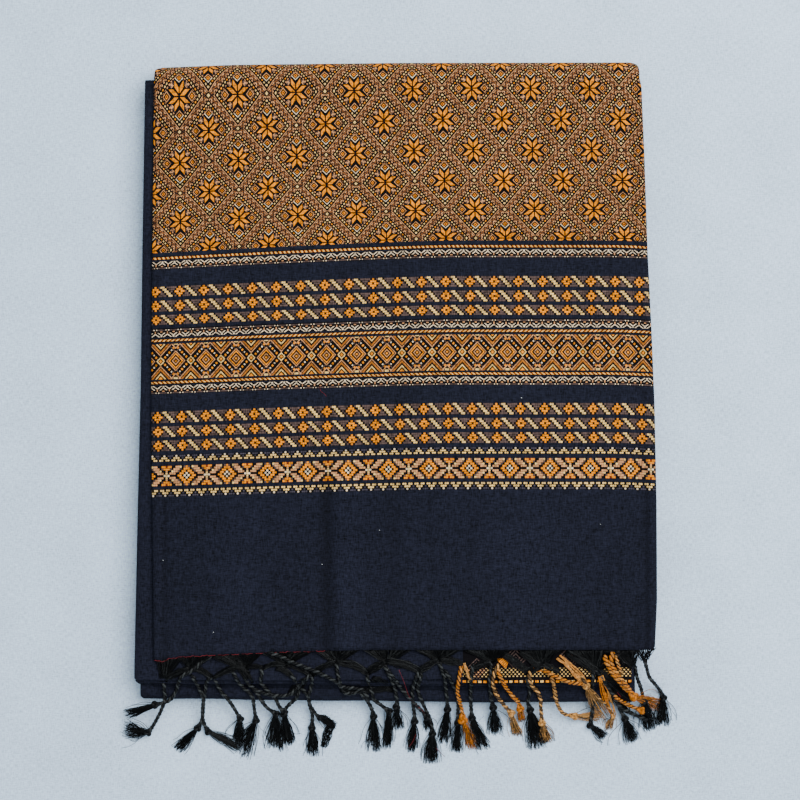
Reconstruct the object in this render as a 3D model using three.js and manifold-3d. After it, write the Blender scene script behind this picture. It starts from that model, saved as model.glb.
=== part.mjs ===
/**
 * A handloom saree, folded in quarters across its width and sixteen times along its length,
 * lying flat. The patterned end panel is the last turn: it comes round the top fold of the
 * stack and ends in a hem of knotted warp fringe.
 * Millimetres, +Z up, +Y towards the top fold, origin in the middle of the underside.
 */
import * as THREE from 'three';
import { mergeVertices } from 'three/addons/utils/BufferGeometryUtils.js';
import Module from 'manifold-3d';

const wasm = await Module();
wasm.setup();

// Thickness of each stretch of cloth, and the heights at which the stretches lie.
const SEAM_GAP = 0.3;
const LOWER_WALL = 1.2;
const UPPER_WALL = 1.2;
const UNDER_WALL = 1.1;
const PALLU_WALL = 1.4;
const LOWER_TOP = 10.2;
const UPPER_TOP = 16.5;
const CORE_TOP = UPPER_TOP - UPPER_WALL - SEAM_GAP;
const UNDER_TOP = UPPER_TOP + SEAM_GAP + UNDER_WALL;
const PALLU_TOP = UNDER_TOP + SEAM_GAP + PALLU_WALL;

// Radii of the folds, over the outside of the cloth.
const LOWER_FOLD = LOWER_TOP / 2;
const UPPER_FOLD = (UPPER_TOP - LOWER_TOP - SEAM_GAP) / 2;
const PALLU_FOLD = PALLU_TOP / 2;
const UPPER_FOLD_HEIGHT = UPPER_TOP - UPPER_FOLD;

// Edges of the end panel. Each row is a place on the edge.
const PALLU_LEFT = [
  { y: 182, x: -139.6 }, { y: 75, x: -140.8 }, { y: -11, x: -141.4 },
  { y: -68, x: -140.8 }, { y: -160, x: -139.9 },
];
const PALLU_RIGHT = [
  { y: 171, x: 141.9 }, { y: 128, x: 143.7 }, { y: 76, x: 145.4 }, { y: 30, x: 147.7 },
  { y: -11, x: 149.4 }, { y: -69, x: 150.6 }, { y: -126, x: 150.9 }, { y: -155, x: 149.7 },
];
const PALLU_HEM = [
  { x: -140, y: -161.4 }, { x: -135, y: -161.3 }, { x: -123, y: -159.1 }, { x: -105, y: -158 },
  { x: -67, y: -156.2 }, { x: -41, y: -155.6 }, { x: 150, y: -155.1 },
];
const PALLU_TOP_EDGE = [
  { x: -140, y: 181.9 }, { x: -93, y: 183.7 }, { x: 2, y: 184.8 }, { x: 142, y: 185.1 },
];

// Edges of the turn just under the end panel, and of the lower group of turns.
const UPPER_LEFT = [
  { y: 174, x: -145.2 }, { y: 85, x: -146.6 }, { y: -8, x: -147.8 },
  { y: -80, x: -149.5 }, { y: -174, x: -151.4 },
];
const UPPER_RIGHT = [{ y: 174, x: 136.5 }, { y: -174, x: 137.5 }];
const UPPER_BOTTOM = [
  { x: -151, y: -174.2 }, { x: -60, y: -175.6 }, { x: 20, y: -177.5 }, { x: 138, y: -177.5 },
];
const UPPER_NORTH = 173.9;
const LOWER_LEFT = [{ y: 174, x: -143.5 }, { y: -187, x: -148.8 }];
const LOWER_RIGHT = [{ y: 174, x: 136.5 }, { y: -187, x: 139 }];
const LOWER_BOTTOM = [
  { x: -149, y: -185.1 }, { x: -60, y: -185.9 }, { x: 25, y: -187.1 }, { x: 139, y: -187.1 },
];

// How the side edges of each sheet roll down, and how far they drop.
const PALLU_ROLL = { width: 6.5, left: 1.35, right: 3 };
const UPPER_ROLL = { width: 4, left: 1.8, right: 1.8 };
const NO_ROLL = { width: 1, left: 0, right: 0 };

// How far the folded legs reach back under and over the layers that they hold.
const LOWER_LEG = 9.1;
const GROOVE_DEPTH = 22;
const UPPER_LEG = 10;
const UNDER_NORTH = 172.5;
const UNDER_SETBACK = { left: 6, right: 9, hem: 1.2 };
const ROLL_FADE = 0.12;
const LEAST_SHARE = 0.004;
const WELD = 1e-4;
const CORE_SETBACK = 1.3;
const CORE_SHOULDER = 6;
const LEDGE = 0.05;
const LAYER_GROOVE = 0.5;

// Where the corners of the hidden layers' rings start, and how finely a ring is cut.
const CORE_CORNER = {
  west: -142, east: 130, south: -170, north: 165, radius: 3, sideSteps: 7, cornerSteps: 3,
};

// The hidden layers. Each row is a bundle of turns: its heights, how far its left and right
// sides stand in from the outline, and how it meets the bottom edge.
const CORE_LAYERS = [
  { group: 'lower', from: 0, to: 1.5, west: 1, east: 0.5, south: LOWER_LEG + SEAM_GAP },
  { group: 'lower', from: 1.5, to: 3.9, west: 0.2, east: 1.2, south: 'fold' },
  { group: 'lower', from: 3.9, to: 6.3, west: 0.8, east: 0.2, south: 'fold' },
  { group: 'lower', from: 6.3, to: 8.7, west: 0, east: 0.9, south: 'fold' },
  { group: 'lower', from: 8.7, to: 10.35, west: 1.3, east: 0.4, south: GROOVE_DEPTH },
  { group: 'upper', from: 10.35, to: 12, west: 2.2, east: 0.6, south: UPPER_LEG + SEAM_GAP },
  { group: 'upper', from: 12, to: 13.5, west: 1.5, east: 1, south: 'fold' },
  { group: 'upper', from: 13.5, to: CORE_TOP, west: 4.3, east: 4.3, south: 'fold' },
];

// Soft creases pressed into the outer face of the end panel, which deepen over the fade.
const CREASE_FADE = 25;
const CREASES = [
  { x: -39.8, from: -57, to: -156, width: 7, depth: 0.4 },
  { x: 20, from: -62, to: -156, width: 3, depth: 0.15 },
  { x: 145.2, from: -55, to: -152, width: 3, depth: 0.4 },
  { x: -133, from: -60, to: -160, width: 4, depth: 0.15 },
];

/** Value of a table of { [key], [value] } rows at t, straight between its rows. */
function along(rows, key, value, t) {
  const rising = rows[0][key] < rows[rows.length - 1][key];
  const sorted = rising ? rows : [...rows].reverse();
  const last = sorted.length - 1;
  if (t <= sorted[0][key]) return sorted[0][value];
  if (t >= sorted[last][key]) return sorted[last][value];
  const next = sorted.findIndex((row) => row[key] > t);
  const low = sorted[next - 1];
  const high = sorted[next];
  const share = (t - low[key]) / (high[key] - low[key]);
  return THREE.MathUtils.lerp(low[value], high[value], share);
}

const xAt = (rows, y) => along(rows, 'y', 'x', y);
const yAt = (rows, x) => along(rows, 'x', 'y', x);

/** Mesh of one node, from a closed geometry. */
function part(name, geometry, material) {
  const mesh = new THREE.Mesh(geometry, material);
  mesh.name = name;
  return mesh;
}

/** Geometry from points and triangles, turned so that its faces point out. */
function closedGeometry(points, triangles) {
  let volume = 0;
  for (const [a, b, c] of triangles) {
    volume += points[a].dot(new THREE.Vector3().crossVectors(points[b], points[c]));
  }
  const index = triangles.flatMap(([a, b, c]) => (volume > 0 ? [a, b, c] : [a, c, b]));
  const geometry = new THREE.BufferGeometry();
  const position = points.flatMap((point) => point.toArray());
  geometry.setAttribute('position', new THREE.Float32BufferAttribute(position, 3));
  geometry.setIndex(index);
  geometry.computeVertexNormals();
  return geometry;
}

/** Closed wall between two skins of rows x columns points: place(row, column, skin). */
function wall(rows, columns, place) {
  const points = [];
  for (const skin of [0, 1]) {
    for (let row = 0; row <= rows; row += 1) {
      for (let column = 0; column <= columns; column += 1) points.push(place(row, column, skin));
    }
  }
  const skinSize = (rows + 1) * (columns + 1);
  const id = (row, column, skin) => skin * skinSize + row * (columns + 1) + column;
  const triangles = [];
  const quad = (a, b, c, d) => triangles.push([a, b, c], [a, c, d]);
  for (let row = 0; row < rows; row += 1) {
    for (let column = 0; column < columns; column += 1) {
      quad(id(row, column, 0), id(row, column + 1, 0), id(row + 1, column + 1, 0), id(row + 1, column, 0));
      quad(id(row, column, 1), id(row + 1, column, 1), id(row + 1, column + 1, 1), id(row, column + 1, 1));
    }
    quad(id(row, 0, 0), id(row + 1, 0, 0), id(row + 1, 0, 1), id(row, 0, 1));
    quad(id(row, columns, 0), id(row, columns, 1), id(row + 1, columns, 1), id(row + 1, columns, 0));
  }
  for (let column = 0; column < columns; column += 1) {
    quad(id(0, column, 0), id(0, column, 1), id(0, column + 1, 1), id(0, column + 1, 0));
    quad(id(rows, column, 0), id(rows, column + 1, 0), id(rows, column + 1, 1), id(rows, column, 1));
  }
  return closedGeometry(points, triangles);
}

/**
 * Stations of a sheet that runs flat and then turns back round a half-round fold.
 * reach is 0 at the sheet's free edge and 1 where the fold starts; turn is the angle round it;
 * leg is how far the turned part goes back, as a share.
 */
function foldStations(flatSteps, foldSteps, legSteps) {
  const stations = [];
  for (let step = 0; step < flatSteps; step += 1) {
    stations.push({ reach: step / flatSteps, turn: 0, leg: 0 });
  }
  for (let step = 0; step <= foldSteps; step += 1) {
    stations.push({ reach: 1, turn: (Math.PI * step) / foldSteps, leg: 0 });
  }
  for (let step = 1; step <= legSteps; step += 1) {
    stations.push({ reach: 1, turn: Math.PI, leg: step / legSteps });
  }
  return stations;
}

/** How far a rolled edge drops, at a distance in from the edge: a quarter ellipse. */
function rollDrop(distance, width, drop) {
  if (distance >= width) return 0;
  const share = 1 - distance / width;
  return drop * (1 - Math.sqrt(1 - share * share));
}

/** Shares of the width at which a sheet has its columns, closer at its rolled edges. */
function columnShares(width, edgeSteps, extra, evenSteps) {
  const shares = new Set([0, 1]);
  for (const step of edgeSteps) {
    shares.add(step / width);
    shares.add(1 - step / width);
  }
  for (let step = 1; step < evenSteps; step += 1) shares.add(step / evenSteps);
  for (const share of extra) shares.add(share);
  const sorted = [...shares].sort((a, b) => a - b);
  return sorted.filter((share, index) => index === 0 || share - sorted[index - 1] > LEAST_SHARE);
}

/**
 * A sheet that lies flat at height top, from free(x) to a fold centred at foldCentre(x), and
 * turns round it with the outer radius, away from the free edge on the side of sign.
 */
function foldedSheet(options) {
  const { top, radius, thickness, free, edge, sign, left, right, stations, shares } = options;
  const { legLength, corner, rolls, dip } = options;
  const place = (row, column, skin) => {
    const station = stations[row];
    const roughY = THREE.MathUtils.lerp(free(0), edge(0) - sign * radius, station.reach);
    const outward = Math.sin(station.turn);
    const trim = corner * (1 - Math.sqrt(1 - outward * outward));
    const west = xAt(left, roughY) + trim;
    const east = xAt(right, roughY) - trim;
    const x = THREE.MathUtils.lerp(west, east, shares[column]);
    const centre = edge(x) - sign * radius;
    const flatY = THREE.MathUtils.lerp(free(x), centre, station.reach);
    const depth = skin * thickness;
    const reach = radius - depth;
    const weight = station.turn === 0 ? Math.min(1, (1 - station.reach) / ROLL_FADE) : 0;
    const sunk = rollDrop(x - west, rolls.width, rolls.left)
      + rollDrop(east - x, rolls.width, rolls.right) + (skin === 0 ? dip(x, flatY) : 0);
    return new THREE.Vector3(
      x,
      flatY + sign * (reach * outward - legLength * station.leg),
      top - radius + reach * Math.cos(station.turn) - weight * sunk,
    );
  };
  return wall(stations.length - 1, shares.length - 1, place);
}

/** Depth of the pressed creases of the end panel at a place. */
function creaseDip(x, y) {
  let dip = 0;
  for (const crease of CREASES) {
    const inside = y < crease.from && y > crease.to - CREASE_FADE;
    const distance = Math.abs(x - crease.x) / crease.width;
    const run = Math.min(1, (crease.from - y) / CREASE_FADE);
    if (inside && distance < 1) dip += crease.depth * run * (0.5 + 0.5 * Math.cos(Math.PI * distance));
  }
  return dip;
}

const noDip = () => 0;

/** The end panel: flat over the stack, then round its top fold and down to the surface. */
function palluFlap() {
  const hemWest = PALLU_LEFT[PALLU_LEFT.length - 1].x;
  const width = PALLU_RIGHT[PALLU_RIGHT.length - 1].x - hemWest;
  const crests = CREASES.flatMap((crease) => [-1, 0, 1].map((side) => crease.x + side * crease.width));
  const bends = PALLU_HEM.slice(1, -1).map((row) => row.x);
  const lastShare = 1 - PALLU_ROLL.width / width;
  const extra = [...crests, ...bends].map((x) => (x - hemWest) / width).filter((share) => share < lastShare);
  return foldedSheet({
    top: PALLU_TOP,
    radius: PALLU_FOLD,
    thickness: PALLU_WALL,
    free: (x) => yAt(PALLU_HEM, x),
    edge: (x) => yAt(PALLU_TOP_EDGE, x),
    sign: 1,
    left: PALLU_LEFT,
    right: PALLU_RIGHT,
    stations: foldStations(11, 9, 0),
    shares: columnShares(width, [1, 3, PALLU_ROLL.width], extra, 6),
    legLength: 0,
    corner: 5,
    rolls: PALLU_ROLL,
    dip: creaseDip,
  });
}

/** The quarter folded under the end panel, whose hem carries the gold fringe. */
function palluUnderQuarter() {
  const rows = 12;
  const columns = 10;
  return wall(rows, columns, (row, column, skin) => {
    const roughY = THREE.MathUtils.lerp(yAt(PALLU_HEM, 0), UNDER_NORTH, row / rows);
    const west = xAt(PALLU_LEFT, roughY) + UNDER_SETBACK.left;
    const east = xAt(PALLU_RIGHT, roughY) - UNDER_SETBACK.right;
    const x = THREE.MathUtils.lerp(west, east, column / columns);
    const hem = yAt(PALLU_HEM, x) + UNDER_SETBACK.hem;
    const y = THREE.MathUtils.lerp(hem, UNDER_NORTH, row / rows);
    return new THREE.Vector3(x, y, UNDER_TOP - skin * UNDER_WALL);
  });
}

/** The turn under the end panel: flat, then round its bottom fold and back. */
function upperBodyTurn() {
  return foldedSheet({
    top: UPPER_TOP,
    radius: UPPER_FOLD,
    thickness: UPPER_WALL,
    free: () => UPPER_NORTH,
    edge: (x) => yAt(UPPER_BOTTOM, x),
    sign: -1,
    left: UPPER_LEFT,
    right: UPPER_RIGHT,
    stations: foldStations(10, 6, 1),
    shares: columnShares(UPPER_RIGHT[0].x - UPPER_LEFT[0].x, [0.8, 2, UPPER_ROLL.width], [], 10),
    legLength: UPPER_LEG - UPPER_FOLD,
    corner: 1.2,
    rolls: UPPER_ROLL,
    dip: noDip,
  });
}

/** The lower turn, which shows as the bottom strip: round the fold of the lower layers. */
function lowerBodyFold() {
  return foldedSheet({
    top: LOWER_TOP,
    radius: LOWER_FOLD,
    thickness: LOWER_WALL,
    free: (x) => yAt(LOWER_BOTTOM, x) + GROOVE_DEPTH - SEAM_GAP,
    edge: (x) => yAt(LOWER_BOTTOM, x),
    sign: -1,
    left: LOWER_LEFT,
    right: LOWER_RIGHT,
    stations: foldStations(3, 8, 1),
    shares: columnShares(LOWER_RIGHT[0].x - LOWER_LEFT[0].x, [2], [], 10),
    legLength: LOWER_LEG - LOWER_FOLD,
    corner: 3,
    rolls: NO_ROLL,
    dip: noDip,
  });
}

/** Bottom edge of a hidden layer at x and height z. */
function coreSouth(layer, x, z) {
  const upper = layer.group === 'upper';
  const bottom = yAt(upper ? UPPER_BOTTOM : LOWER_BOTTOM, x);
  if (layer.south !== 'fold') return bottom + layer.south;
  const radius = upper ? UPPER_FOLD : LOWER_FOLD;
  const centre = upper ? UPPER_FOLD_HEIGHT : LOWER_FOLD;
  const inner = radius - (upper ? UPPER_WALL : LOWER_WALL) - SEAM_GAP;
  return bottom + radius - Math.sqrt(Math.max(0, inner ** 2 - (z - centre) ** 2));
}

/** Top edge of a hidden layer: it fills the fold of the end panel, where that covers it. */
function coreNorth(x, z) {
  const inner = PALLU_FOLD - PALLU_WALL - SEAM_GAP;
  const centre = yAt(PALLU_TOP_EDGE, x) - PALLU_FOLD;
  const covered = THREE.MathUtils.smoothstep(x, PALLU_LEFT[0].x, PALLU_LEFT[0].x + CORE_SHOULDER);
  const bulge = Math.sqrt(Math.max(0, inner ** 2 - (z - PALLU_FOLD) ** 2));
  return centre - CORE_SETBACK + covered * bulge;
}

/** One ring of the hidden layers at height z, with round corners. */
function coreRing(layer, z, inset) {
  const upper = layer.group === 'upper';
  const left = upper ? UPPER_LEFT : LOWER_LEFT;
  const right = upper ? UPPER_RIGHT : LOWER_RIGHT;
  const { radius, sideSteps, cornerSteps } = CORE_CORNER;
  const west = (y) => xAt(left, y) + layer.west + inset;
  const east = (y) => xAt(right, y) - layer.east - inset;
  const south = (x) => coreSouth(layer, x, z) + inset;
  const north = (x) => coreNorth(x, z) - inset;
  const corners = [
    { x: west(CORE_CORNER.south) + radius, y: south(CORE_CORNER.west) + radius, start: Math.PI },
    { x: east(CORE_CORNER.south) - radius, y: south(CORE_CORNER.east) + radius, start: 1.5 * Math.PI },
    { x: east(CORE_CORNER.north) - radius, y: north(CORE_CORNER.east) - radius, start: 0 },
    { x: west(CORE_CORNER.north) + radius, y: north(CORE_CORNER.west) - radius, start: 0.5 * Math.PI },
  ];
  const ring = [];
  corners.forEach((corner, side) => {
    for (let step = 0; step <= cornerSteps; step += 1) {
      const angle = corner.start + (Math.PI / 2) * (step / cornerSteps);
      const x = corner.x + radius * Math.cos(angle);
      ring.push(new THREE.Vector3(x, corner.y + radius * Math.sin(angle), z));
    }
    const next = corners[(side + 1) % corners.length];
    for (let step = 1; step < sideSteps; step += 1) {
      const share = step / sideSteps;
      const x = THREE.MathUtils.lerp(corner.x, next.x, share);
      const y = THREE.MathUtils.lerp(corner.y, next.y, share);
      const edges = [[x, south(x)], [east(y), y], [x, north(x)], [west(y), y]];
      ring.push(new THREE.Vector3(...edges[side], z));
    }
  });
  return ring;
}

/** The hidden layers as one rounded solid, layered at its edges. */
function foldedCore() {
  const rings = CORE_LAYERS.flatMap((layer) => [
    coreRing(layer, layer.from === 0 ? 0 : layer.from + LEDGE, LAYER_GROOVE),
    coreRing(layer, (layer.from + layer.to) / 2, 0),
    coreRing(layer, layer.to === CORE_TOP ? CORE_TOP : layer.to - LEDGE, LAYER_GROOVE),
  ]);
  const size = rings[0].length;
  const points = rings.flat();
  const triangles = [];
  for (let ring = 0; ring + 1 < rings.length; ring += 1) {
    for (let step = 0; step < size; step += 1) {
      const next = (step + 1) % size;
      const [low, high] = [ring * size, (ring + 1) * size];
      triangles.push([low + step, low + next, high + next], [low + step, high + next, high + step]);
    }
  }
  const base = points.push(new THREE.Vector3(0, 0, 0)) - 1;
  const crown = points.push(new THREE.Vector3(0, 0, CORE_TOP)) - 1;
  const topRing = (rings.length - 1) * size;
  for (let step = 0; step < size; step += 1) {
    const next = (step + 1) % size;
    triangles.push([base, next, step], [crown, topRing + step, topRing + next]);
  }
  return closedGeometry(points, triangles);
}

// The photograph's view: the camera hangs over the middle of the frame, at this height.
const VIEW = { middleU: 400, middleV: 400, x: 2.3, y: -10.95, height: 1250, scale: 0.5765 };

/** Place under a pixel of the photograph, for something lying at height z. */
function placeAt(u, v, z) {
  const scale = (VIEW.scale * (VIEW.height - z)) / (VIEW.height - PALLU_TOP);
  return new THREE.Vector2(VIEW.x + (u - VIEW.middleU) * scale, VIEW.y - (v - VIEW.middleV) * scale);
}

// Fringe sizes.
const HEM_GAP = 0.4;
const STRIP_WIDTH = 3;
const STRIP_THICKNESS = 1.3;
const CORD_RADIUS = 1.2;
const SLIM_RADIUS = 0.9;
const CORD_STEPS = 6;
const KNOT_RADIUS = 1.9;
const MAIN_KNOT_RADIUS = 1.5;
const KNOT_SHAPE = { tilt: 0.4, width: 1.05, height: 0.72 };
const LOCK_RADIUS = 1.1;
const LOCK_SHORTER = 0.08;
const TIP_RADIUS = 0.35;
const GATHER_RADIUS = 0.45;
const GATHER_HEIGHT = PALLU_TOP - 0.2;
const GATHER_SINK = 0.2;
const STEEPEST = 1.1;

// Where the cords of each yarn start, how thick they are there, and for how many steps they
// stay slim, to pass under or beside the other yarn's roots.
const BLACK = { start: PALLU_TOP - 0.5, rootRadius: 0.8, rootSteps: 2, slimSteps: 2 };
const GOLD = { start: UNDER_TOP - UNDER_WALL / 2, rootRadius: 0.55, rootSteps: 2, slimSteps: 4 };

// How a strand leaves the turns: just past their edges, then down at these slopes.
const EDGE_CLEAR = 0.8;
const SIDE_BRINK = 138.8;
const SIDE_SLOPE = 1.3;

/** Height of what lies under a strand at a place: the turns, their steps, then the surface. */
function surfaceHeight(x, y) {
  const ledge = yAt(UPPER_BOTTOM, x) - EDGE_CLEAR;
  const brink = yAt(LOWER_BOTTOM, x) - EDGE_CLEAR;
  const byRow = y > ledge ? UPPER_TOP
    : y > brink ? Math.max(LOWER_TOP, UPPER_TOP - (ledge - y))
      : Math.max(0, LOWER_TOP - (brink - y));
  const bySide = x < SIDE_BRINK ? UPPER_TOP : Math.max(0, UPPER_TOP - SIDE_SLOPE * (x - SIDE_BRINK));
  return Math.min(byRow, bySide);
}

/** A tapered strand of few sides through points, with a radius at each. */
function taperedStrand(points, radii, sides) {
  const spots = [];
  const triangles = [];
  const last = points.length - 1;
  const up = new THREE.Vector3(0, 0, 1);
  points.forEach((point, row) => {
    const ahead = points[Math.min(row + 1, last)];
    const behind = points[Math.max(row - 1, 0)];
    const forward = new THREE.Vector3().subVectors(ahead, behind).normalize();
    const across = new THREE.Vector3().crossVectors(forward, up).normalize();
    const lifted = new THREE.Vector3().crossVectors(across, forward);
    for (let side = 0; side < sides; side += 1) {
      const angle = (2 * Math.PI * side) / sides + Math.PI / 2;
      const spot = point.clone().addScaledVector(across, radii[row] * Math.cos(angle));
      spots.push(spot.addScaledVector(lifted, radii[row] * Math.sin(angle)));
    }
  });
  for (let row = 0; row < last; row += 1) {
    for (let side = 0; side < sides; side += 1) {
      const next = (side + 1) % sides;
      const [low, high] = [row * sides, (row + 1) * sides];
      triangles.push([low + side, low + next, high + next], [low + side, high + next, high + side]);
    }
  }
  for (let side = 1; side + 1 < sides; side += 1) {
    triangles.push([0, side + 1, side], [last * sides, last * sides + side, last * sides + side + 1]);
  }
  return closedGeometry(spots, triangles);
}

/** Points of a cord on a route of the photograph: it falls from its root, then lies down. */
function layRoute(route, start, radii) {
  const corners = route.map(([u, v]) => new THREE.Vector3(u, v, 0));
  const flat = new THREE.CatmullRomCurve3(corners, false, 'centripetal');
  const samples = flat.getSpacedPoints(CORD_STEPS);
  const origin = placeAt(samples[0].x, samples[0].y, start);
  const restAt = (place, row) => surfaceHeight(place.x, place.y) + SEAM_GAP + radii[row];
  return samples.map((sample, row) => {
    const rough = placeAt(sample.x, sample.y, start);
    const fallen = start - STEEPEST * rough.distanceTo(origin);
    const height = row === 0 ? start : Math.max(restAt(rough, row), Math.min(start, fallen));
    const place = placeAt(sample.x, sample.y, height);
    return new THREE.Vector3(place.x, place.y, row === 0 ? start : Math.max(restAt(place, row), height));
  });
}

/** Radius of a cord of one yarn at a step along it. */
function cordRadius(yarn, step) {
  if (step < yarn.rootSteps) return yarn.rootRadius;
  return step < yarn.slimSteps ? SLIM_RADIUS : CORD_RADIUS;
}

/** One strand: the twisted cord, its end knot and the locks of its brush. */
function strandSolids(strand, yarn) {
  const radii = Array.from({ length: CORD_STEPS + 1 }, (unused, step) => cordRadius(yarn, step));
  const cord = layRoute(strand.route, yarn.start, radii);
  const solids = [taperedStrand(cord, radii, 3)];
  if (!strand.tip) return solids;
  const end = cord[CORD_STEPS];
  const knotRest = KNOT_RADIUS * KNOT_SHAPE.width + SEAM_GAP;
  solids.push(knotSolid(KNOT_RADIUS, end.x, end.y, Math.max(end.z, knotRest * KNOT_SHAPE.height)));
  const [knotU, knotV] = strand.route[strand.route.length - 1];
  const [tipU, tipV] = strand.tip;
  const run = Math.hypot(tipU - knotU, tipV - knotV);
  const [acrossU, acrossV] = [(tipV - knotV) / run, (knotU - tipU) / run];
  for (const side of [-1, 0, 1]) {
    const spread = side * strand.spread;
    const length = 1 - LOCK_SHORTER * Math.abs(side);
    const points = [0, 0.5, 1].map((share) => {
      const u = knotU + (tipU - knotU) * share * length + acrossU * spread * share;
      const v = knotV + (tipV - knotV) * share * length + acrossV * spread * share;
      const rough = placeAt(u, v, 0);
      const radius = THREE.MathUtils.lerp(LOCK_RADIUS, TIP_RADIUS, share * share);
      const rest = surfaceHeight(rough.x, rough.y) + SEAM_GAP + radius;
      const height = share === 0 ? end.z : Math.max(rest, end.z - STEEPEST * run * share);
      const place = placeAt(u, v, height);
      return new THREE.Vector3(place.x, place.y, height);
    });
    solids.push(taperedStrand(points, [LOCK_RADIUS, LOCK_RADIUS, TIP_RADIUS], 3));
  }
  return solids;
}

/** A knot: a flattened octahedron. */
function knotSolid(radius, x, y, z) {
  const knot = new THREE.OctahedronGeometry(radius, 0);
  knot.rotateX(KNOT_SHAPE.tilt);
  knot.scale(KNOT_SHAPE.width, KNOT_SHAPE.width, KNOT_SHAPE.height);
  knot.translate(x, y, z);
  return knot;
}

/** Two thin locks of warp that gather from the strip into a main knot. */
function gatherSolids(gather) {
  const [knotU, knotV] = gather.knot;
  const centre = placeAt(knotU, knotV, GATHER_HEIGHT);
  const end = new THREE.Vector3(centre.x, centre.y, GATHER_HEIGHT - GATHER_SINK);
  const mainKnot = knotSolid(MAIN_KNOT_RADIUS, end.x, end.y, end.z);
  const locks = [gather.from, gather.to].map((u) => {
    const { x } = placeAt(u, VIEW.middleV, PALLU_TOP);
    const root = new THREE.Vector3(x, yAt(PALLU_HEM, x) - STRIP_WIDTH / 2, end.z - GATHER_SINK / 2);
    return taperedStrand([root, end], [GATHER_RADIUS, GATHER_RADIUS], 3);
  });
  return [mainKnot, ...locks];
}

/** Narrow strip just off a hem, which holds the roots of its strands. */
function rootStrip(strip) {
  const bends = PALLU_HEM.map((row) => row.x).filter((x) => x > strip.from + 1 && x < strip.to - 1);
  const places = [strip.from, ...bends, strip.to];
  return wall(1, places.length - 1, (row, column, skin) => {
    const x = places[column];
    const y = yAt(PALLU_HEM, x) + strip.setback - HEM_GAP - row * STRIP_WIDTH;
    return new THREE.Vector3(x, y, strip.top - skin * strip.thickness);
  });
}

/** Solid from a closed geometry, for joining. */
function solid(geometry) {
  const bare = geometry.index ? geometry : geometry.clone();
  bare.deleteAttribute('normal');
  bare.deleteAttribute('uv');
  const merged = mergeVertices(bare, WELD);
  return new wasm.Manifold(new wasm.Mesh({
    numProp: 3,
    vertProperties: new Float32Array(merged.attributes.position.array),
    triVerts: new Uint32Array(merged.index.array),
  }));
}

/** Strands and strip joined into one solid. */
function fringe(strip, strands, gathers, yarn) {
  const pieces = [rootStrip(strip), ...strands.flatMap((strand) => strandSolids(strand, yarn))];
  pieces.push(...gathers.flatMap(gatherSolids));
  const joined = pieces.map(solid).reduce((whole, piece) => whole.add(piece));
  return outerSkin(joined.getMesh());
}

/** Geometry of a joined mesh's outer skin: small hollows shut in between strands are filled. */
function outerSkin(mesh) {
  const corners = mesh.vertProperties;
  const points = [];
  for (let at = 0; at < corners.length; at += 3) points.push(new THREE.Vector3().fromArray(corners, at));
  const leader = points.map((point, index) => index);
  const find = (index) => {
    let top = index;
    while (leader[top] !== top) top = leader[top];
    leader[index] = top;
    return top;
  };
  const triangles = [];
  for (let at = 0; at < mesh.triVerts.length; at += 3) {
    const [a, b, c] = mesh.triVerts.slice(at, at + 3);
    triangles.push([a, b, c]);
    leader[find(b)] = find(a);
    leader[find(c)] = find(a);
  }
  const volumes = new Map();
  for (const [a, b, c] of triangles) {
    const slice = points[a].dot(new THREE.Vector3().crossVectors(points[b], points[c]));
    volumes.set(find(a), (volumes.get(find(a)) ?? 0) + slice);
  }
  return closedGeometry(points, triangles.filter(([a]) => volumes.get(find(a)) > 0));
}

// Strands, in pixels of the photograph: the cord's route to its end knot, the brush's tip and
// half its spread. A strand without a tip is a cord that ends under another.
const LEFT_STRANDS = [
  { route: [[163.5, 680], [164.8, 699], [158, 717], [148.4, 732]], tip: [124.5, 726], spread: 6 },
  { route: [[205, 658], [193, 670], [178, 685], [166, 702], [155.7, 704.6]], tip: [125.4, 714], spread: 4 },
  { route: [[191, 674], [195.6, 682], [202, 697], [202, 712], [198, 727]], tip: [178, 749], spread: 4 },
  { route: [[212, 677], [208.5, 684], [209, 700], [208, 717], [211, 732]], tip: [238, 751], spread: 4 },
  { route: [[212, 677], [221, 691], [231, 703], [240, 718.4]], tip: [236, 741], spread: 3 },
  { route: [[232, 668], [242, 686], [252, 697], [256, 719.7]], tip: [244, 755], spread: 6 },
];
const LEFT_GATHERS = [
  { from: 157, to: 176, knot: [163.5, 680] }, { from: 180, to: 203, knot: [191, 674] },
  { from: 203, to: 224, knot: [212, 677] }, { from: 225, to: 247, knot: [232, 668] },
];
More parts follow.
